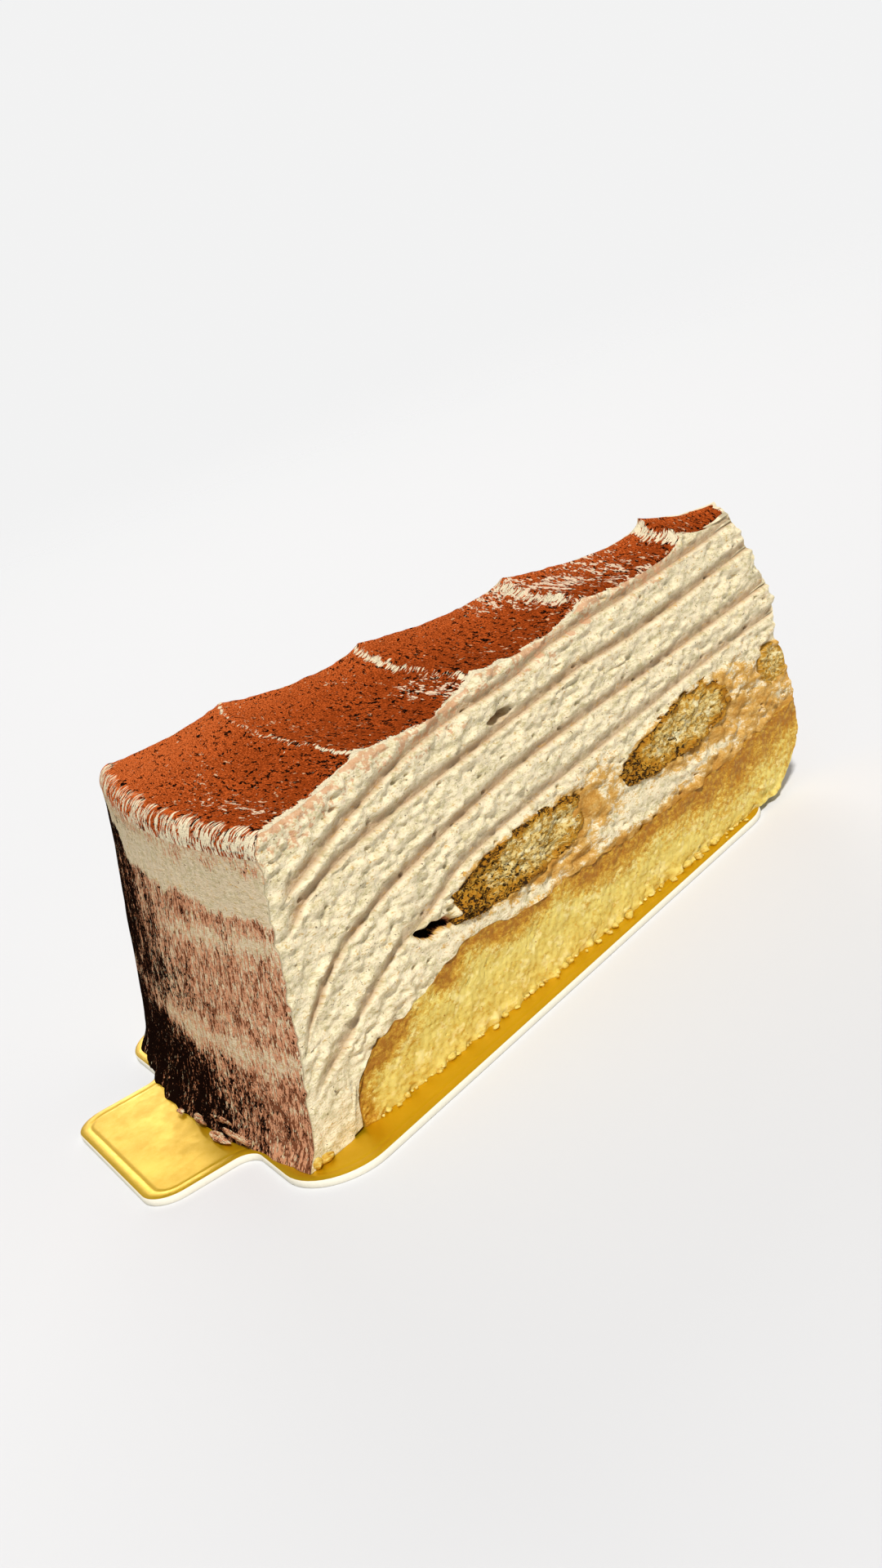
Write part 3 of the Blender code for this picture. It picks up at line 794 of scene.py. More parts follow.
def dust_of(radius, angle, height, u, v):
    """How much of the wall cocoa covers: all under a clean shoulder, thinner in two slanting bands; on the
    cut, the pocket, as painted shade.
    """
    arc = angle * WALL_RADIUS
    near = -angle / HALF_ANGLE
    ragged = 0.9 * lumps(arc, 0, 0, 4.0, 51) + 0.8 * lumps(arc, 0, 0, 1.3, 58)
    top = 35.8 - 1.6 * smooth_step(0.3, 1.0, near) + 6.0 * smooth_step(0.3, 1.0, -near) + ragged
    body = 0.70 * (1 - smooth_step(top - 1.2, top + 0.8, height))
    pale_1 = 0.30 * np.exp(-((height - 29.4 - 1.2 * near) / 1.6) ** 2) * smooth_step(-0.3, 0.4, near)
    pale_2 = 0.27 * np.exp(-((height - 14.4 + 0.5 * near) / 1.9) ** 2)
    low = 0.10 * (1 - smooth_step(9.0, 13.0, height))
    # More cover on the far, lower side, where the black is partly painted shade.
    far = 0.34 * smooth_step(0.0, 0.8, -near + 0.5 * (1 - smooth_step(8.0, 18.0, height))) * (height < top)
    shoulder = 0.46 * smooth_step(39.8, 42.2, height + 1.5 * lumps(arc, 0, 0, 2.4, 52))
    wall = np.clip(body - pale_1 - pale_2 + low + far + shoulder, 0, 1)
    # The pocket of the cut takes the dust colours as painted shade.
    cut = smooth_step(0.25, 0.7, pocket_shape(radius, height))
    return np.where(u == 1, wall, np.where(np.abs(v) == 1, cut, 0.0))


def cocoa_and_shade_black_of(radius, angle, height, u, v):
    """How black the dust is: most on the wall's far and lower side, where it is partly thick cocoa and partly
    painted shade, and in the pocket of the cut as painted shade.
    """
    far = angle / HALF_ANGLE
    low = 1 - smooth_step(7.0, 17.0, height)
    middle = np.exp(-((height - 20.0) / 4.0) ** 2)
    amount = 0.20 + 0.53 * smooth_step(-0.3, 0.75, far + 0.75 * low + 0.3 * middle)
    amount = amount + 0.14 * smooth_step(0.6, 0.95, far) + 0.14 * low * smooth_step(-0.3, 0.4, far)
    amount = amount - 0.25 * np.exp(-((height - 14.4) / 1.6) ** 2)
    cut = pocket_shape(radius, height)
    return np.where(u == 1, np.clip(amount, 0, 1) * (height < 42), cut)


CREAM_VALUES = {"groove": groove_tint_and_shade_of, "stain": stain_of, "smudge": smudge_of, "dust": dust_of, "dark": cocoa_and_shade_black_of}


# %% [markdown]
# ## The cream
# Four bands of cream lie above the sponge fingers, and the lowest one wraps round them.
# The top layer carries the combed rings: sharp crests, and a hollow between each two.

# %% Top line and cream pieces
def top_height(radius):
    """The combed top: straight from crest to crest less a skewed half sine to a power, then a shoulder."""
    height = np.full(np.shape(radius), CRESTS[0][1], float)
    for i, depth in enumerate(HOLLOW_DEPTHS):
        (r0, z0), (r1, z1) = CRESTS[i], CRESTS[i + 1]
        u = np.clip((radius - r0) / (r1 - r0), 0, 1)
        sag = np.sin(np.pi * u ** HOLLOW_SKEWS[i])
        part = z0 + (z1 - z0) * u - depth * np.clip(sag, 0, 1) ** HOLLOW_SHARPNESS
        height = np.where(radius >= r0, part, height)
    edge_radius, edge_height = CRESTS[-1]
    reach = along(WALL_EDGE, edge_height - SHOULDER_DROP) - edge_radius
    share = np.clip((radius - edge_radius) / reach, 0, 1)
    round_off = SHOULDER_DROP * (1 - np.sqrt(np.clip(1 - share * share, 0, 1)))
    return np.where(radius > edge_radius, edge_height - round_off, height)


FOOT_CLEAR = 0.02
SPONGE_REACH = 121.0


def cream_top_line(radius):
    return top_height(radius) - COCOA


def sponge_line(radius):
    """The sponge's top, with a ragged wander of a few tenths of a millimetre, and the board beyond it."""
    wander = 0.45 * lumps(radius, 0, 0, 2.4, 61) * (1 - smooth_step(112, 118, radius))
    return np.where(radius < SPONGE_REACH, along(SPONGE_TOP, radius) + wander, FOOT_CLEAR)


def line(points):
    """The curve through the points, as a function of radius."""
    return lambda radius: along(points, radius)


def sunk_round_fingers(radius, height, side):
    """Cut cream that falls away behind the sponge fingers, so that they stand in their own beds."""
    gap = nearest_finger(radius, height)
    shallow = cream_relief(radius, height, side)
    bed = smooth_step(-1.5, -0.15, gap)
    return shallow * bed - 1.6 * (1 - bed) - 3.2 * pocket_shape(radius, height)


def banded_relief(radius, height, side):
    """Cut cream with one long air hole and a few slits."""
    hole = 2.4 * air_hole(radius, height)
    slit = 0.5 * np.exp(-(((radius - 45.0) / 3.0) ** 2 + ((height - 37.3) / 0.22) ** 2))
    return cream_relief(radius, height, side) - hole - slit


for name, lower, upper, rows, relief in (
        ("cream_top", line(LINE_A), cream_top_line, 24, cream_relief),
        ("cream_band_1", line(LINE_B), line(LINE_A), 24, banded_relief),
        ("cream_band_2", line(LINE_C), line(LINE_B), 32, banded_relief),
        ("cream_band_3", line(LINE_D), line(LINE_C), 24, cream_relief),
        ("cream_lower", sponge_line, line(LINE_D), 60, sunk_round_fingers)):
    layer_piece(name, lower, upper, rows, relief, "cream", CREAM_VALUES)


# %% [markdown]
# ## The sponge base
# The sponge is a finer, drier foam than the cream, so its relief is rounded crumbs and open pores.
# Coffee has run into its upper edge and its outer end.

# %% Sponge
def soak_of(radius, angle, height, u, v):
    """Coffee in the sponge: a patchy band along its top, wider towards the tip, and both of its ends."""
    depth = along(SPONGE_TOP, radius) - height
    wet = 2.9 + 2.8 * (1 - smooth_step(20.0, 75.0, radius)) + 1.3 * lumps(radius, 0, v, 7.0, 62)
    top = np.exp(-(np.maximum(depth, 0) / wet) ** 2) * (1.0 + 0.35 * lumps(radius, height, v, 2.5, 63))
    run = lumps(radius, 0, v * 3.0, 8.0, 64) + 0.8 * (1 - smooth_step(45.0, 70.0, radius))
    top = top * (0.35 + 0.75 * smooth_step(-0.3, 0.35, run))
    end = smooth_step(115.5, 119.8, radius) * 0.8
    tip = (1 - smooth_step(8.0, 20.0, radius)) * 0.55
    return np.clip(np.maximum(np.maximum(top * 1.05, end), tip), 0, 1)


def burnt_of(radius, angle, height, u, v):
    return 0.22 * soak_of(radius, angle, height, u, v)


def sponge_floor(radius):
    return 0 * radius + FOOT_CLEAR


def sponge_end(height):
    return along(SPONGE_END, height)


def no_relief(angle, height):
    return 0 * height


layer_piece("sponge_base", sponge_floor, sponge_line, 44, crumb_relief, "sponge",
            {"soak": soak_of, "burnt": burnt_of}, sponge_end, no_relief)


# %% [markdown]
# ## The sponge fingers
# Each finger lies across the slice, so both cuts show its squared oval end. The end is a fan of rings
# round a middle point. Its rim took up the most coffee, so it is dark and speckled, and its middle is pale.

# %% Fingers
FINGER_ROUND = 240
FINGER_RINGS = 34
FINGER_PROUD = 0.12
FINGER_RIM_SUNK = 0.12
FINGER_CHAR = {"ladyfinger_1": 1.15, "ladyfinger_2": 0.85, "ladyfinger_3": 0.2}
FINGER_WETNESS = {"ladyfinger_1": 1.0, "ladyfinger_2": 1.0, "ladyfinger_3": 0.55}


def finger_outline(r0, z0, half_width, half_thickness, swelling, tilt):
    """A squared oval: cosine and sine to the power two over squareness, swollen to one side and tilted."""
    a = np.linspace(0, 2 * np.pi, FINGER_ROUND, endpoint=False)
    across = np.sign(np.cos(a)) * np.abs(np.cos(a)) ** (2 / FINGER_SQUARENESS)
    up = np.sign(np.sin(a)) * np.abs(np.sin(a)) ** (2 / FINGER_SQUARENESS)
    x = half_width * across
    z = half_thickness * up * (1 - swelling * across)
    return x * math.cos(tilt) + z * math.sin(tilt), z * math.cos(tilt) - x * math.sin(tilt)


def finger_rings(name):
    """Share of the way from the middle to the ragged outline, and the rings' radius and height."""
    r0, z0 = FINGERS[name][:2]
    dx, dz = finger_outline(*FINGERS[name])
    ragged = 1 + 0.08 * lumps(dx, dz, r0, 3.4, 71) + 0.08 * lumps(dx, dz, r0, 1.2, 73)
    share = np.linspace(0, 1, FINGER_RINGS + 1)[1:, None]
    return share, r0 + dx * ragged * share, z0 + dz * ragged * share


def finger_end(name, side):
    """One cut end: its middle, then its rings with crumbs that stand proud and a sunk rim, and their map."""
    r0, z0 = FINGERS[name][:2]
    share, radius, height = finger_rings(name)
    rim = smooth_step(0.94, 1.0, share)
    face = (crumb_relief(radius, height, side + 5) * 2.9 + FINGER_PROUD) * (1 - rim) - FINGER_RIM_SUNK * rim
    rings = push_off_cut(place(radius, side * HALF_ANGLE + 0 * radius, height), face, side)
    middle = place(np.array([r0]), np.array([side * HALF_ANGLE]), np.array([z0]))
    flat_map = np.stack([np.append(r0, radius) + FAR_MAP * side, np.append(z0, height)], -1)
    return np.concatenate([middle, rings.reshape(-1, 3)]), flat_map


def finger_coffee(name, side):
    """How soaked and how charred an end is: pale near the middle, darkest at the outer and upper rim."""
    r0, z0, half_width, half_thickness = FINGERS[name][:4]
    share, radius, height = finger_rings(name)
    outward = (radius - r0) / half_width
    upward = (height - z0) / half_thickness
    blotch = 0.34 * lumps(radius, height, side * 9.0, 2.4, 72)
    outer = smooth_step(-0.35, 0.75, outward + blotch)
    lower = smooth_step(-0.2, 0.9, -upward + blotch)
    rind = smooth_step(0.6, 1.0, share + 0.4 * blotch)
    upper_rim = smooth_step(0.1, 0.9, upward + blotch) * smooth_step(0.72, 0.98, share)
    from_pale = np.hypot(outward + 0.28, (upward - 0.12) / 1.15) + 0.6 * blotch
    soak = 0.85 * smooth_step(0.42, 0.88, from_pale) + 0.3 * rind + 0.3 * upper_rim
    charred = 0.38 * outer + 0.16 * lower + 0.20 * rind + 0.34 * upper_rim
    return (np.append(0.2, np.clip(FINGER_WETNESS[name] * soak, 0, 1)),
            np.append(0.0, np.clip(FINGER_CHAR[name] * charred, 0, 0.5)))


def finger_piece(name):
    """A finger: a fan of rings on each cut, and a band across the slice between the two rims."""
    near, far = finger_end(name, -1), finger_end(name, 1)
    soak, burnt = (np.concatenate(pair) for pair in zip(finger_coffee(name, -1), finger_coffee(name, 1)))
    size = len(near[0])
    ring = 1 + np.arange(size - 1).reshape(FINGER_RINGS, FINGER_ROUND)
    turn = np.roll(ring, -1, axis=1)
    cap = np.stack([ring[:-1], ring[1:], turn[1:], turn[:-1]], -1).reshape(-1, 4)
    fan = np.stack([np.zeros(FINGER_ROUND, int), ring[0], turn[0]], -1)
    band = np.stack([ring[-1], turn[-1], turn[-1] + size, ring[-1] + size], -1)
    return make_piece("dressed_" + name, np.concatenate([near[0], far[0]]),
                      np.concatenate([cap[:, ::-1], cap + size, band]), [*fan[:, ::-1], *(fan + size)],
                      "finger_crumb", FINISH["finger_crumb"], {"soak": soak, "burnt": burnt},
                      np.concatenate([near[1], far[1]]), name)


for finger in FINGERS:
    finger_piece(finger)


# %% [markdown]
# ## The cocoa
# Cocoa was sieved over the combed rings. It lies like a thin skin: thick in the hollows, and too thin to
# hide the cream on the steep outer side of each crest. Specks are drawn out along the rings.

# %% Cocoa skin
COCOA_RUN = 330
SHOULDER_RUN = 26
COCOA_ACROSS = 132
SINK = 0.12
SHOULDER_MAP = 4.0
# Each bare step: its crest's radius, its width, and how bare it is.
STEPS = ((22.0, 2.8, 0.60), (47.6, 2.4, 0.62), (74.0, 1.6, 0.62), (98.6, 0.9, 0.54))


def step_of(radius, angle):
    """How bare the outer side of each crest is, fading in and out along the ring."""
    total = np.zeros(radius.shape)
    for crest, width, strength in STEPS:
        arc = angle * crest
        ragged = radius + 0.5 * lumps(arc, 0, 0, 1.1, 81)
        on = smooth_step(crest - 0.3, crest + 0.5, ragged)
        off = smooth_step(crest + 0.5 * width, crest + 1.2 * width, ragged)
        patchy = strength + 0.3 * lumps(arc, crest, 0, 6.0, 82)
        total = np.maximum(total, on * (1 - off) * patchy)
    return total


def bare_of(radius, angle, inside):
    """Where cream flecks show: clusters in the hollows, most near the tip and along the near cut."""
    arc = angle * radius
    cluster = smooth_step(0.05, 0.65, lumps(arc * 0.6, radius, 0, 6.0, 87))
    inner = np.exp(-((radius - 35.0) / 9.0) ** 2)
    behind = np.exp(-((radius - 52.0) / 4.0) ** 2) + np.exp(-((radius - 79.0) / 4.0) ** 2)
    near = np.exp(-((inside - 4.0) / 4.0) ** 2) * np.exp(-((radius - 62.0) / 9.0) ** 2)
    edge = np.exp(-((radius - 114.0) / 3.5) ** 2) * (1 - smooth_step(-0.4, 0.3, angle / HALF_ANGLE))
    share = 0.14 + 0.80 * inner + 0.16 * behind + 0.34 * near + 0.62 * edge
    return np.clip(share * (0.45 + cluster), 0, 0.54)


def cocoa_grid():
    """Radius and height over the skin: along the combed top, then a quarter turn down the shoulder."""
    angle = np.linspace(-HALF_ANGLE, HALF_ANGLE, COCOA_ACROSS + 1)[None, :]
    edge_radius, edge_height = CRESTS[-1]
    tip_height = CRESTS[0][1] - COCOA + 0 * angle
    foot_height = edge_height - SHOULDER_DROP - COCOA + 0 * angle
    start = tip_edge(tip_height) - tip_relief(angle, tip_height)
    end = wall_edge(foot_height) + wall_relief(angle, foot_height)
    run = start + (edge_radius - start) * np.linspace(0, 1, COCOA_RUN + 1)[:, None]
    turn = np.linspace(0, math.pi / 2, SHOULDER_RUN + 1)[1:, None] + 0 * angle
    radius = np.concatenate([run, edge_radius + (end - edge_radius) * np.sin(turn)])
    height = np.concatenate([top_height(run), edge_height - SHOULDER_DROP * (1 - np.cos(turn))])
    along_map = np.concatenate([run, edge_radius + SHOULDER_MAP * (1 - np.cos(turn))])
    return radius, angle + 0 * radius, height, along_map


def cocoa_values(radius, angle, inside, outside):
    """Bare steps with a fringe round the shoulder, flecks, painted shade and sheen, and cream along the
    edges.
    """
    arc = angle * radius
    edge_radius = CRESTS[-1][0]
    width = 0.1 + 0.8 * smooth_step(62.0, 82.0, radius) + 0.8 * np.exp(-((radius - 49.0) / 3.0) ** 2)
    width = width + 0.9 * lumps(radius, 0, 0, 2.6, 86) + 0.7 * lumps(radius, 0, 0, 7.0, 89)
    smear = 1 - smooth_step(width - 0.8, width + 1.0, inside)
    smear = np.maximum(smear, 0.8 * (1 - smooth_step(0.2, 1.2, outside)))
    smear = np.maximum(smear, 1 - smooth_step(0.2, 1.1, radius - radius[0]))
    past_edge = radius + 1.1 * lumps(arc, 0, 0, 1.4, 88)
    past_edge = smooth_step(edge_radius - 0.7, edge_radius + 0.8, past_edge)
    down = np.concatenate([np.zeros(COCOA_RUN + 1), np.linspace(0, 1, SHOULDER_RUN)])[:, None]
    fringe = 0.45 + 0.10 * down + 0.12 * lumps(arc, 0, 0, 2.6, 94) + 0.08 * lumps(arc, 0, 0, 0.9, 95)
    # Painted shade: most towards the near cut, least towards the far cut and the wall, where painted sheen
    # shows.
    painted_shade = 0.55 - 0.5 * angle / HALF_ANGLE - 0.25 * smooth_step(80.0, 118.0, radius)
    values = {"step": np.maximum(step_of(radius, angle), past_edge * fringe),
              "bare": bare_of(radius, angle, inside), "painted_shade": np.clip(painted_shade, 0, 1), "smear": smear}
    return {key: np.tile(value.ravel(), 2) for key, value in values.items()}


def cocoa_points(radius, angle, height, inside, outside):
    """The skin's top, rough and combed across bare steps and thin at the cuts, and its flat underside."""
    arc = angle * radius
    from_cut = smooth_step(0.0, 1.6, np.minimum(inside, outside))
    rough = 0.10 * lumps(arc, radius, 0, 0.9, 83) + 0.14 * lumps(arc * 0.4, radius, 0, 3.0, 84)
    comb = 0.22 * lumps(arc, radius * 0.35, 0, 1.1, 85) * smooth_step(0.2, 0.5, step_of(radius, angle))
    raised = (rough + comb) * (0.4 + 0.6 * from_cut) - SINK - 0.3 * (1 - from_cut)
    layers = [place(radius, angle, height + raised), place(radius, angle, height - COCOA)]
    for side, column, gap in ((-1, 0, inside), (1, -1, outside)):
        relief = cream_relief(radius[:, column], height[:, column] - COCOA, side)
        for layer in layers:
            push_off_cut(layer, (1 - smooth_step(0.0, 1.6, gap)) * relief[:, None], side)
    return np.concatenate([layer.reshape(-1, 3) for layer in layers])


def cocoa_piece():
    """The skin: a grid on top, its copy turned over beneath, and a band round their shared rim."""
    radius, angle, height, along_map = cocoa_grid()
    inside = (HALF_ANGLE + angle) * radius
    outside = (HALF_ANGLE - angle) * radius
    size = radius.size
    grid = np.arange(size).reshape(radius.shape)
    upper = np.stack([grid[:-1, :-1], grid[1:, :-1], grid[1:, 1:], grid[:-1, 1:]], -1).reshape(-1, 4)
    rim = np.concatenate([grid[:, 0], grid[-1, 1:], grid[-2::-1, -1], grid[0, -2:0:-1]])
    turn = np.roll(rim, -1)
    band = np.stack([rim, rim + size, turn + size, turn], -1)
    quads = np.concatenate([upper, upper[:, ::-1] + size, band])
    flat_map = np.tile(np.stack([angle * radius, along_map], -1).reshape(-1, 2), (2, 1))
    return make_piece("dressed_cocoa_layer", cocoa_points(radius, angle, height, inside, outside), quads, [],
                      "cocoa", FINISH["cocoa"], cocoa_values(radius, angle, inside, outside), flat_map,
                      "cocoa_layer")


cocoa_piece()


# %% [markdown]
# ## The board
# A cake card is thick white board with metal foil on its face. The foil stops just short of the white
# cut edge, and a line pressed into it follows the outline.

# %% Board outline
BOARD_HALF_ANGLE = math.radians(18.4)
BOARD_LENGTH = 129.6
TAB_WIDTH = 38.0
TAB_REACH = 16.0
CORNERS = {"tip": 9.2, "end": 9.0, "fillet": 3.0, "tab": 5.0}
CORNER_STEPS = 14


def board_outline():
    """The wedge and its tab as corners, each one replaced by an arc of its own radius."""
    half_end = BOARD_LENGTH * math.tan(BOARD_HALF_ANGLE)
    tab = TAB_WIDTH / 2
    half = [(0.0, 0.0, CORNERS["tip"]), (-BOARD_LENGTH, -half_end, CORNERS["end"]),
            (-BOARD_LENGTH, -tab, CORNERS["fillet"]), (-BOARD_LENGTH - TAB_REACH, -tab, CORNERS["tab"])]
    corners = half + [(x, -y, r) for x, y, r in half[:0:-1]]
    outline = []
    for i, (x, y, radius) in enumerate(corners):
        before, after = corners[i - 1], corners[(i + 1) % len(corners)]
        a = math.atan2(before[1] - y, before[0] - x)
        b = math.atan2(after[1] - y, after[0] - x)
        between = (b - a + math.pi) % (2 * math.pi) - math.pi
        reach = radius / abs(math.sin(between / 2))
        middle = (x + reach * math.cos(a + between / 2), y + reach * math.sin(a + between / 2))
        turn = math.copysign(math.pi - abs(between), -between)
        at = a + between / 2 + math.pi - turn / 2 + turn * np.linspace(0, 1, CORNER_STEPS + 1)
        outline.append(np.stack([middle[0] + radius * np.cos(at), middle[1] + radius * np.sin(at)], -1))
    return np.concatenate(outline) + (APEX, 0)


def outline_inward(outline):
    """The outline, turned to run anticlockwise, and unit vectors into it at each of its points."""
    x, y = outline.T
    if np.sum(x * np.roll(y, -1) - np.roll(x, -1) * y) < 0:
        outline = outline[::-1]
    ahead = np.roll(outline, -1, 0) - np.roll(outline, 1, 0)
    ahead /= np.linalg.norm(ahead, axis=1, keepdims=True)
    return outline, np.stack([-ahead[:, 1], ahead[:, 0]], -1)


def board_piece(name, profile, material, node=None):
    """A flat piece: the outline carried through (inset, height) steps from below to above, and two caps."""
    outline, inward = outline_inward(board_outline())
    rings = [np.column_stack([outline + inward * inset, np.full(len(outline), z)]) for inset, z in profile]
    ring = np.arange(len(profile) * len(outline)).reshape(len(profile), -1)
    turn = np.roll(ring, -1, axis=1)
    quads = np.stack([ring[:-1], turn[:-1], turn[1:], ring[1:]], -1).reshape(-1, 4)
    return make_piece(name, np.concatenate(rings), quads, [ring[0][::-1], ring[-1]], "gold_card", material,
                      node=node)


CARD_PROFILE = ((2.6, 0.0), (0.12, 0.0), (0.0, 0.12), (0.0, 1.02), (0.1, 1.12), (2.6, 1.12))
FOIL_PROFILE = ((2.6, 1.125), (0.16, 1.125), (0.12, 1.15), (0.2, 1.19), (1.5, 1.2), (1.7, 1.15), (1.95, 1.15),
                (2.15, 1.2), (2.6, 1.2))
board_piece("board_card", CARD_PROFILE, FINISH["card"], "gold_board")
board_piece("board_foil", FOIL_PROFILE, FINISH["gold_card"])


# %% [markdown]
# ## What fell off
# A cut slice sheds crumbs. Small ones lie along the foot of the sponge, and a few curled flakes of dusted
# cream lie where the wall was freed. Each is a ball whose points are moved in and out by noise.

# %% Crumbs and flakes
BALL_ROWS = 8
BALL_AROUND = 12
CRUMBS_A_SIDE = 70
CRUMBS_FROM = 27.0
CRUMBS_RUN = 92.0


def lump_ball():
    """A unit ball as rings of points with two poles, and its faces."""
    polar = np.linspace(0, np.pi, BALL_ROWS + 1)[1:-1, None]
    turn = np.linspace(0, 2 * np.pi, BALL_AROUND, endpoint=False)[None, :]
    rings = [np.sin(polar) * np.cos(turn), np.sin(polar) * np.sin(turn), np.cos(polar) + 0 * turn]
    rings = np.stack(rings, -1)
    points = np.concatenate([rings.reshape(-1, 3), [[0, 0, 1.0], [0, 0, -1.0]]])
    ring = np.arange(rings.shape[0] * BALL_AROUND).reshape(-1, BALL_AROUND)
    ahead = np.roll(ring, -1, axis=1)
    quads = np.stack([ring[:-1], ring[1:], ahead[1:], ahead[:-1]], -1).reshape(-1, 4)
    north, south = len(points) - 2, len(points) - 1
    fans = np.concatenate([np.stack([np.full(BALL_AROUND, north), ring[0], ahead[0]], -1),
                           np.stack([np.full(BALL_AROUND, south), ahead[-1], ring[-1]], -1)])
    return points, quads, fans


def lump_piece(name, middles, reaches, turns, slot, values, unevenness=0.35):
    """One ball for each middle, stretched by its reaches, roughened by noise and turned about upright."""
    ball, quads, fans = lump_ball()
    which = np.arange(len(middles))[:, None] * 7.0
    rough = 1 + unevenness * lumps(ball[:, 0] + which, ball[:, 1], ball[:, 2], 0.7, 91)
    x, y, z = np.moveaxis(ball * rough[..., None] * reaches[:, None, :], -1, 0)
    c, s = np.cos(turns)[:, None], np.sin(turns)[:, None]
    points = (middles[:, None, :] + np.stack([x * c - y * s, x * s + y * c, z], -1)).reshape(-1, 3)
    step = (np.arange(len(middles)) * len(ball))[:, None, None]
    return make_piece(name, points, (quads + step).reshape(-1, 4), list((fans + step).reshape(-1, 3)), slot,
                      FINISH[slot], values, points[:, :2] + points[:, 2:])


def scatter_crumbs():
    """Crumbs along both feet of the sponge: radius, distance off the cut and size from hashed numbers."""
    middles, reaches, turns = [], [], []
    index = np.arange(CRUMBS_A_SIDE)
    none = np.zeros_like(index)
    for side in (-1, 1):
        pick = [cell_random(index, none + side + 5, none + k, 93) for k in range(5)]
        size = 0.22 + 0.5 * pick[0] ** 3
        away = 0.1 + 0.5 * pick[1] + 0.9 * pick[1] ** 6
        radius = CRUMBS_FROM + CRUMBS_RUN * (index + pick[2]) / CRUMBS_A_SIDE
        at = place(radius, side * HALF_ANGLE + 0 * size, 0.6 * size)
        middles.append(push_off_cut(at, away, side))
        reaches.append(np.stack([size * (0.8 + 0.6 * pick[3]), size, 0.8 * size], -1))
        turns.append(np.pi * pick[4])
    return np.concatenate(middles), np.concatenate(reaches), np.concatenate(turns)


FLAKES = ((131.3, -7.0, 1.5, 3.4, 0.35, 0.7), (132.1, -4.9, 0.6, 2.8, 0.7, 0.35),
          (131.0, -5.3, 3.0, 2.6, 0.3, 0.5), (131.6, -1.8, 0.9, 1.9, 0.4, 0.6),
          (132.2, 1.2, 0.5, 1.0, 0.5, 0.3))
# The flakes carry the wall's dust and coffee, its grey painted shade, and black that is partly painted shade.
FLAKE_VALUES = {"groove": 0.3, "stain": 0.1, "smudge": 0.0, "dust": 0.7, "dark": 0.3}


def scatter_flakes():
    """Flakes along the wall's foot, from rows of radius, degrees, height, length, thickness and tallness."""
    radius, degrees, height, length, thick, tall = np.array(FLAKES).T
    angle = np.radians(degrees)
    return place(radius, angle, height), np.stack([thick, length, tall], -1), -angle


lump_piece("sponge_crumbs", *scatter_crumbs(), "sponge", {"soak": 0.15, "burnt": 0.0})
lump_piece("cream_flakes", *scatter_flakes(), "cream", FLAKE_VALUES, unevenness=0.75)
CORNER_AT = place(np.array([130.0, 128.6]), np.radians([-14.7, -15.1]), np.array([0.8, 0.6]))
CORNER_REACH = np.array([[0.9, 1.7, 0.8], [1.3, 0.7, 0.6]])
lump_piece("corner_crumbs", CORNER_AT, CORNER_REACH, np.zeros(2), "sponge", {"soak": 0.45, "burnt": 0.05})


# %% [markdown]
# ## Studio
# The floor and the background are one pale tone, and the floor fades out before its edge, so no horizon
# shows. A key light high in front picks out the relief, a wide fill keeps the wall readable, and a low
# light from behind reaches the far cut.

# %% Floor, lights and camera
ROOM_LIGHT = (0.30, 0.30, 0.30)
ROOM_SEEN = (0.89, 0.89, 0.89)
FLOOR_TONE = (0.67, 0.68, 0.70)
FLOOR_REACH = 1.4


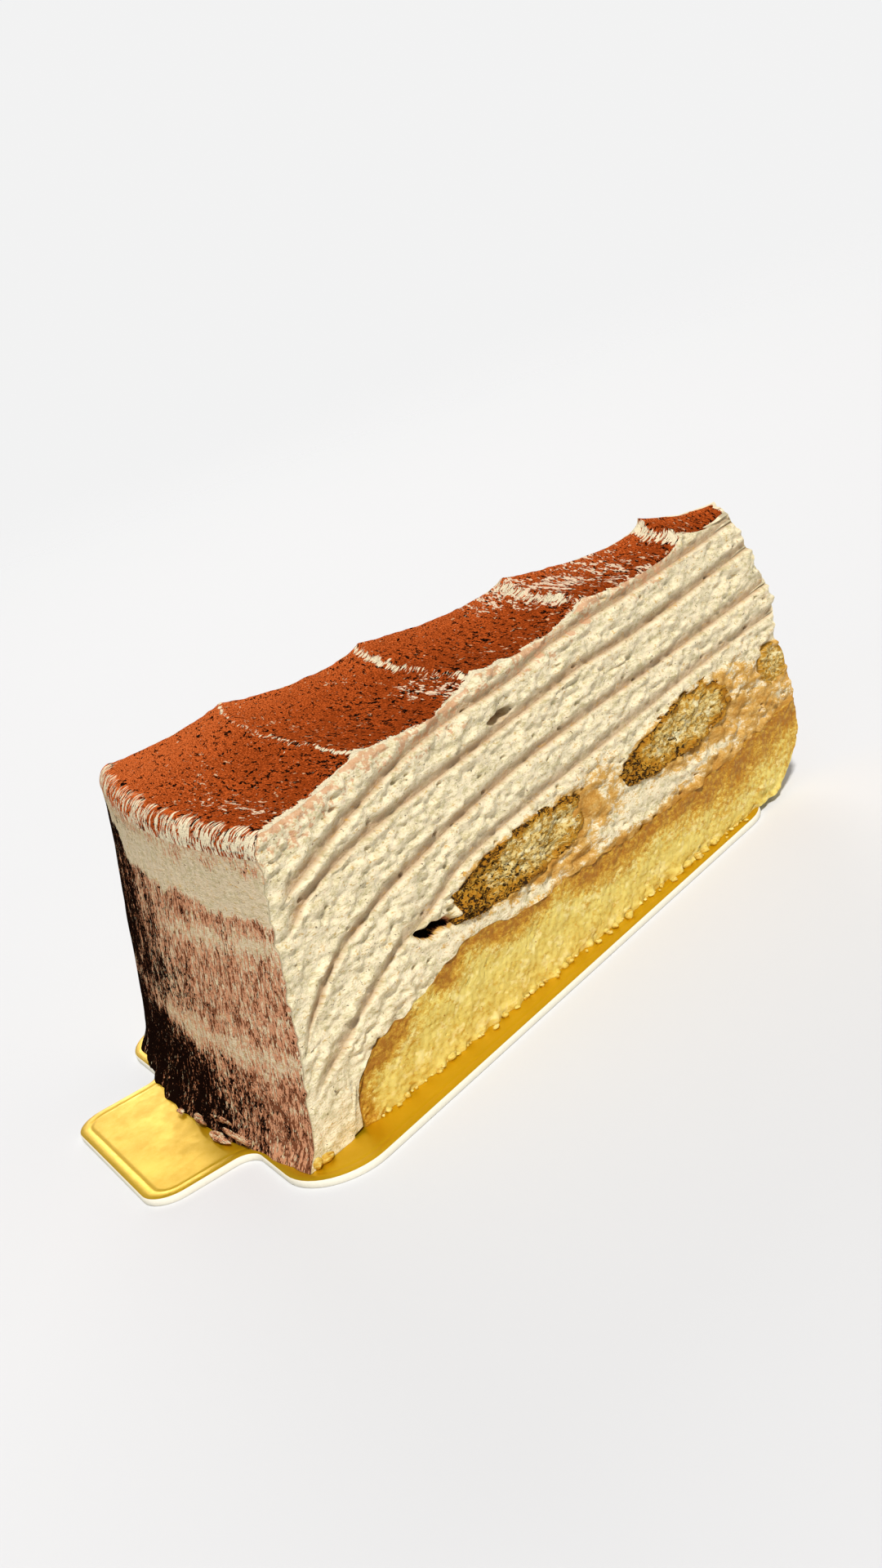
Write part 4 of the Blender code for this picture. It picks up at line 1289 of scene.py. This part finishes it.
def pale_floor():
    """A square that is solid under the slice and fades to nothing before its edge."""
    mesh = bpy.data.meshes.new("floor")
    corners = [(FLOOR_REACH * x, FLOOR_REACH * y, 0) for x, y in ((-1, -1), (1, -1), (1, 1), (-1, 1))]
    mesh.from_pydata(corners, [], [(0, 1, 2, 3)])
    paint = Finish("floor_paint", 0.9, 0.1)
    paint.feed("Base Color", FLOOR_TONE)
    at = paint.add("ShaderNodeTexCoord", {})["Object"]
    distance = paint.add("ShaderNodeVectorMath", {0: at}, operation="LENGTH")["Value"]
    paint.feed("Alpha", paint.ramp(distance, 0.25, 1.1, 1.0, 0.0))
    mesh.materials.append(paint.material)
    floor = bpy.data.objects.new("floor", mesh)
    bpy.context.scene.collection.objects.link(floor)


def sun_light(name, towards, strength, spread, colour):
    """A sun that shines from the direction `towards`, with soft shadow edges set by its spread in degrees."""
    light = bpy.data.lights.new(name, "SUN")
    light.energy = strength
    light.angle = math.radians(spread)
    light.color = colour
    lamp = bpy.data.objects.new(name, light)
    lamp.rotation_euler = Vector(towards).to_track_quat("Z", "Y").to_euler()
    bpy.context.scene.collection.objects.link(lamp)


CAMERA_AT = (-106.35, -239.5, 114.4)
CAMERA_AZIMUTH = math.radians(24.03)
CAMERA_DOWN = math.radians(17.89)
CAMERA_ROLL = math.radians(-19.96)
CAMERA_LENS = 39.99


def photo_camera():
    """A camera at the solved place: turned to its azimuth, tipped down, then rolled."""
    data = bpy.data.cameras.new("photo_camera")
    data.lens = CAMERA_LENS
    data.sensor_width = 36.0
    data.clip_start = 0.005
    camera = bpy.data.objects.new("photo_camera", data)
    turn = (Matrix.Rotation(-CAMERA_AZIMUTH, 4, "Z") @ Matrix.Rotation(math.pi / 2 - CAMERA_DOWN, 4, "X")
            @ Matrix.Rotation(CAMERA_ROLL, 4, "Z"))
    camera.matrix_world = Matrix.Translation(Vector(CAMERA_AT) * MM) @ turn
    bpy.context.scene.collection.objects.link(camera)
    bpy.context.scene.camera = camera


def pale_world():
    """A dim even room that looks nearly white where the camera sees it."""
    world = bpy.data.worlds.new("pale_room")
    world.use_nodes = True
    room = Graph(world.node_tree)
    seen = room.add("ShaderNodeLightPath", {})["Is Camera Ray"]
    room.fill(world.node_tree.nodes["Background"].inputs["Color"], room.blend(seen, ROOM_LIGHT, ROOM_SEEN))
    bpy.context.scene.world = world


pale_floor()
sun_light("key", (-0.12, -0.56, 0.82), 3.5, 7.0, (1.0, 0.97, 0.93))
sun_light("fill", (-0.75, -0.6, 0.3), 0.30, 60.0, (0.98, 0.98, 1.0))
sun_light("back", (0.35, 0.85, 0.24), 1.3, 30.0, (1.0, 0.98, 0.95))
photo_camera()
pale_world()
bpy.context.scene.view_settings.view_transform = "Standard"
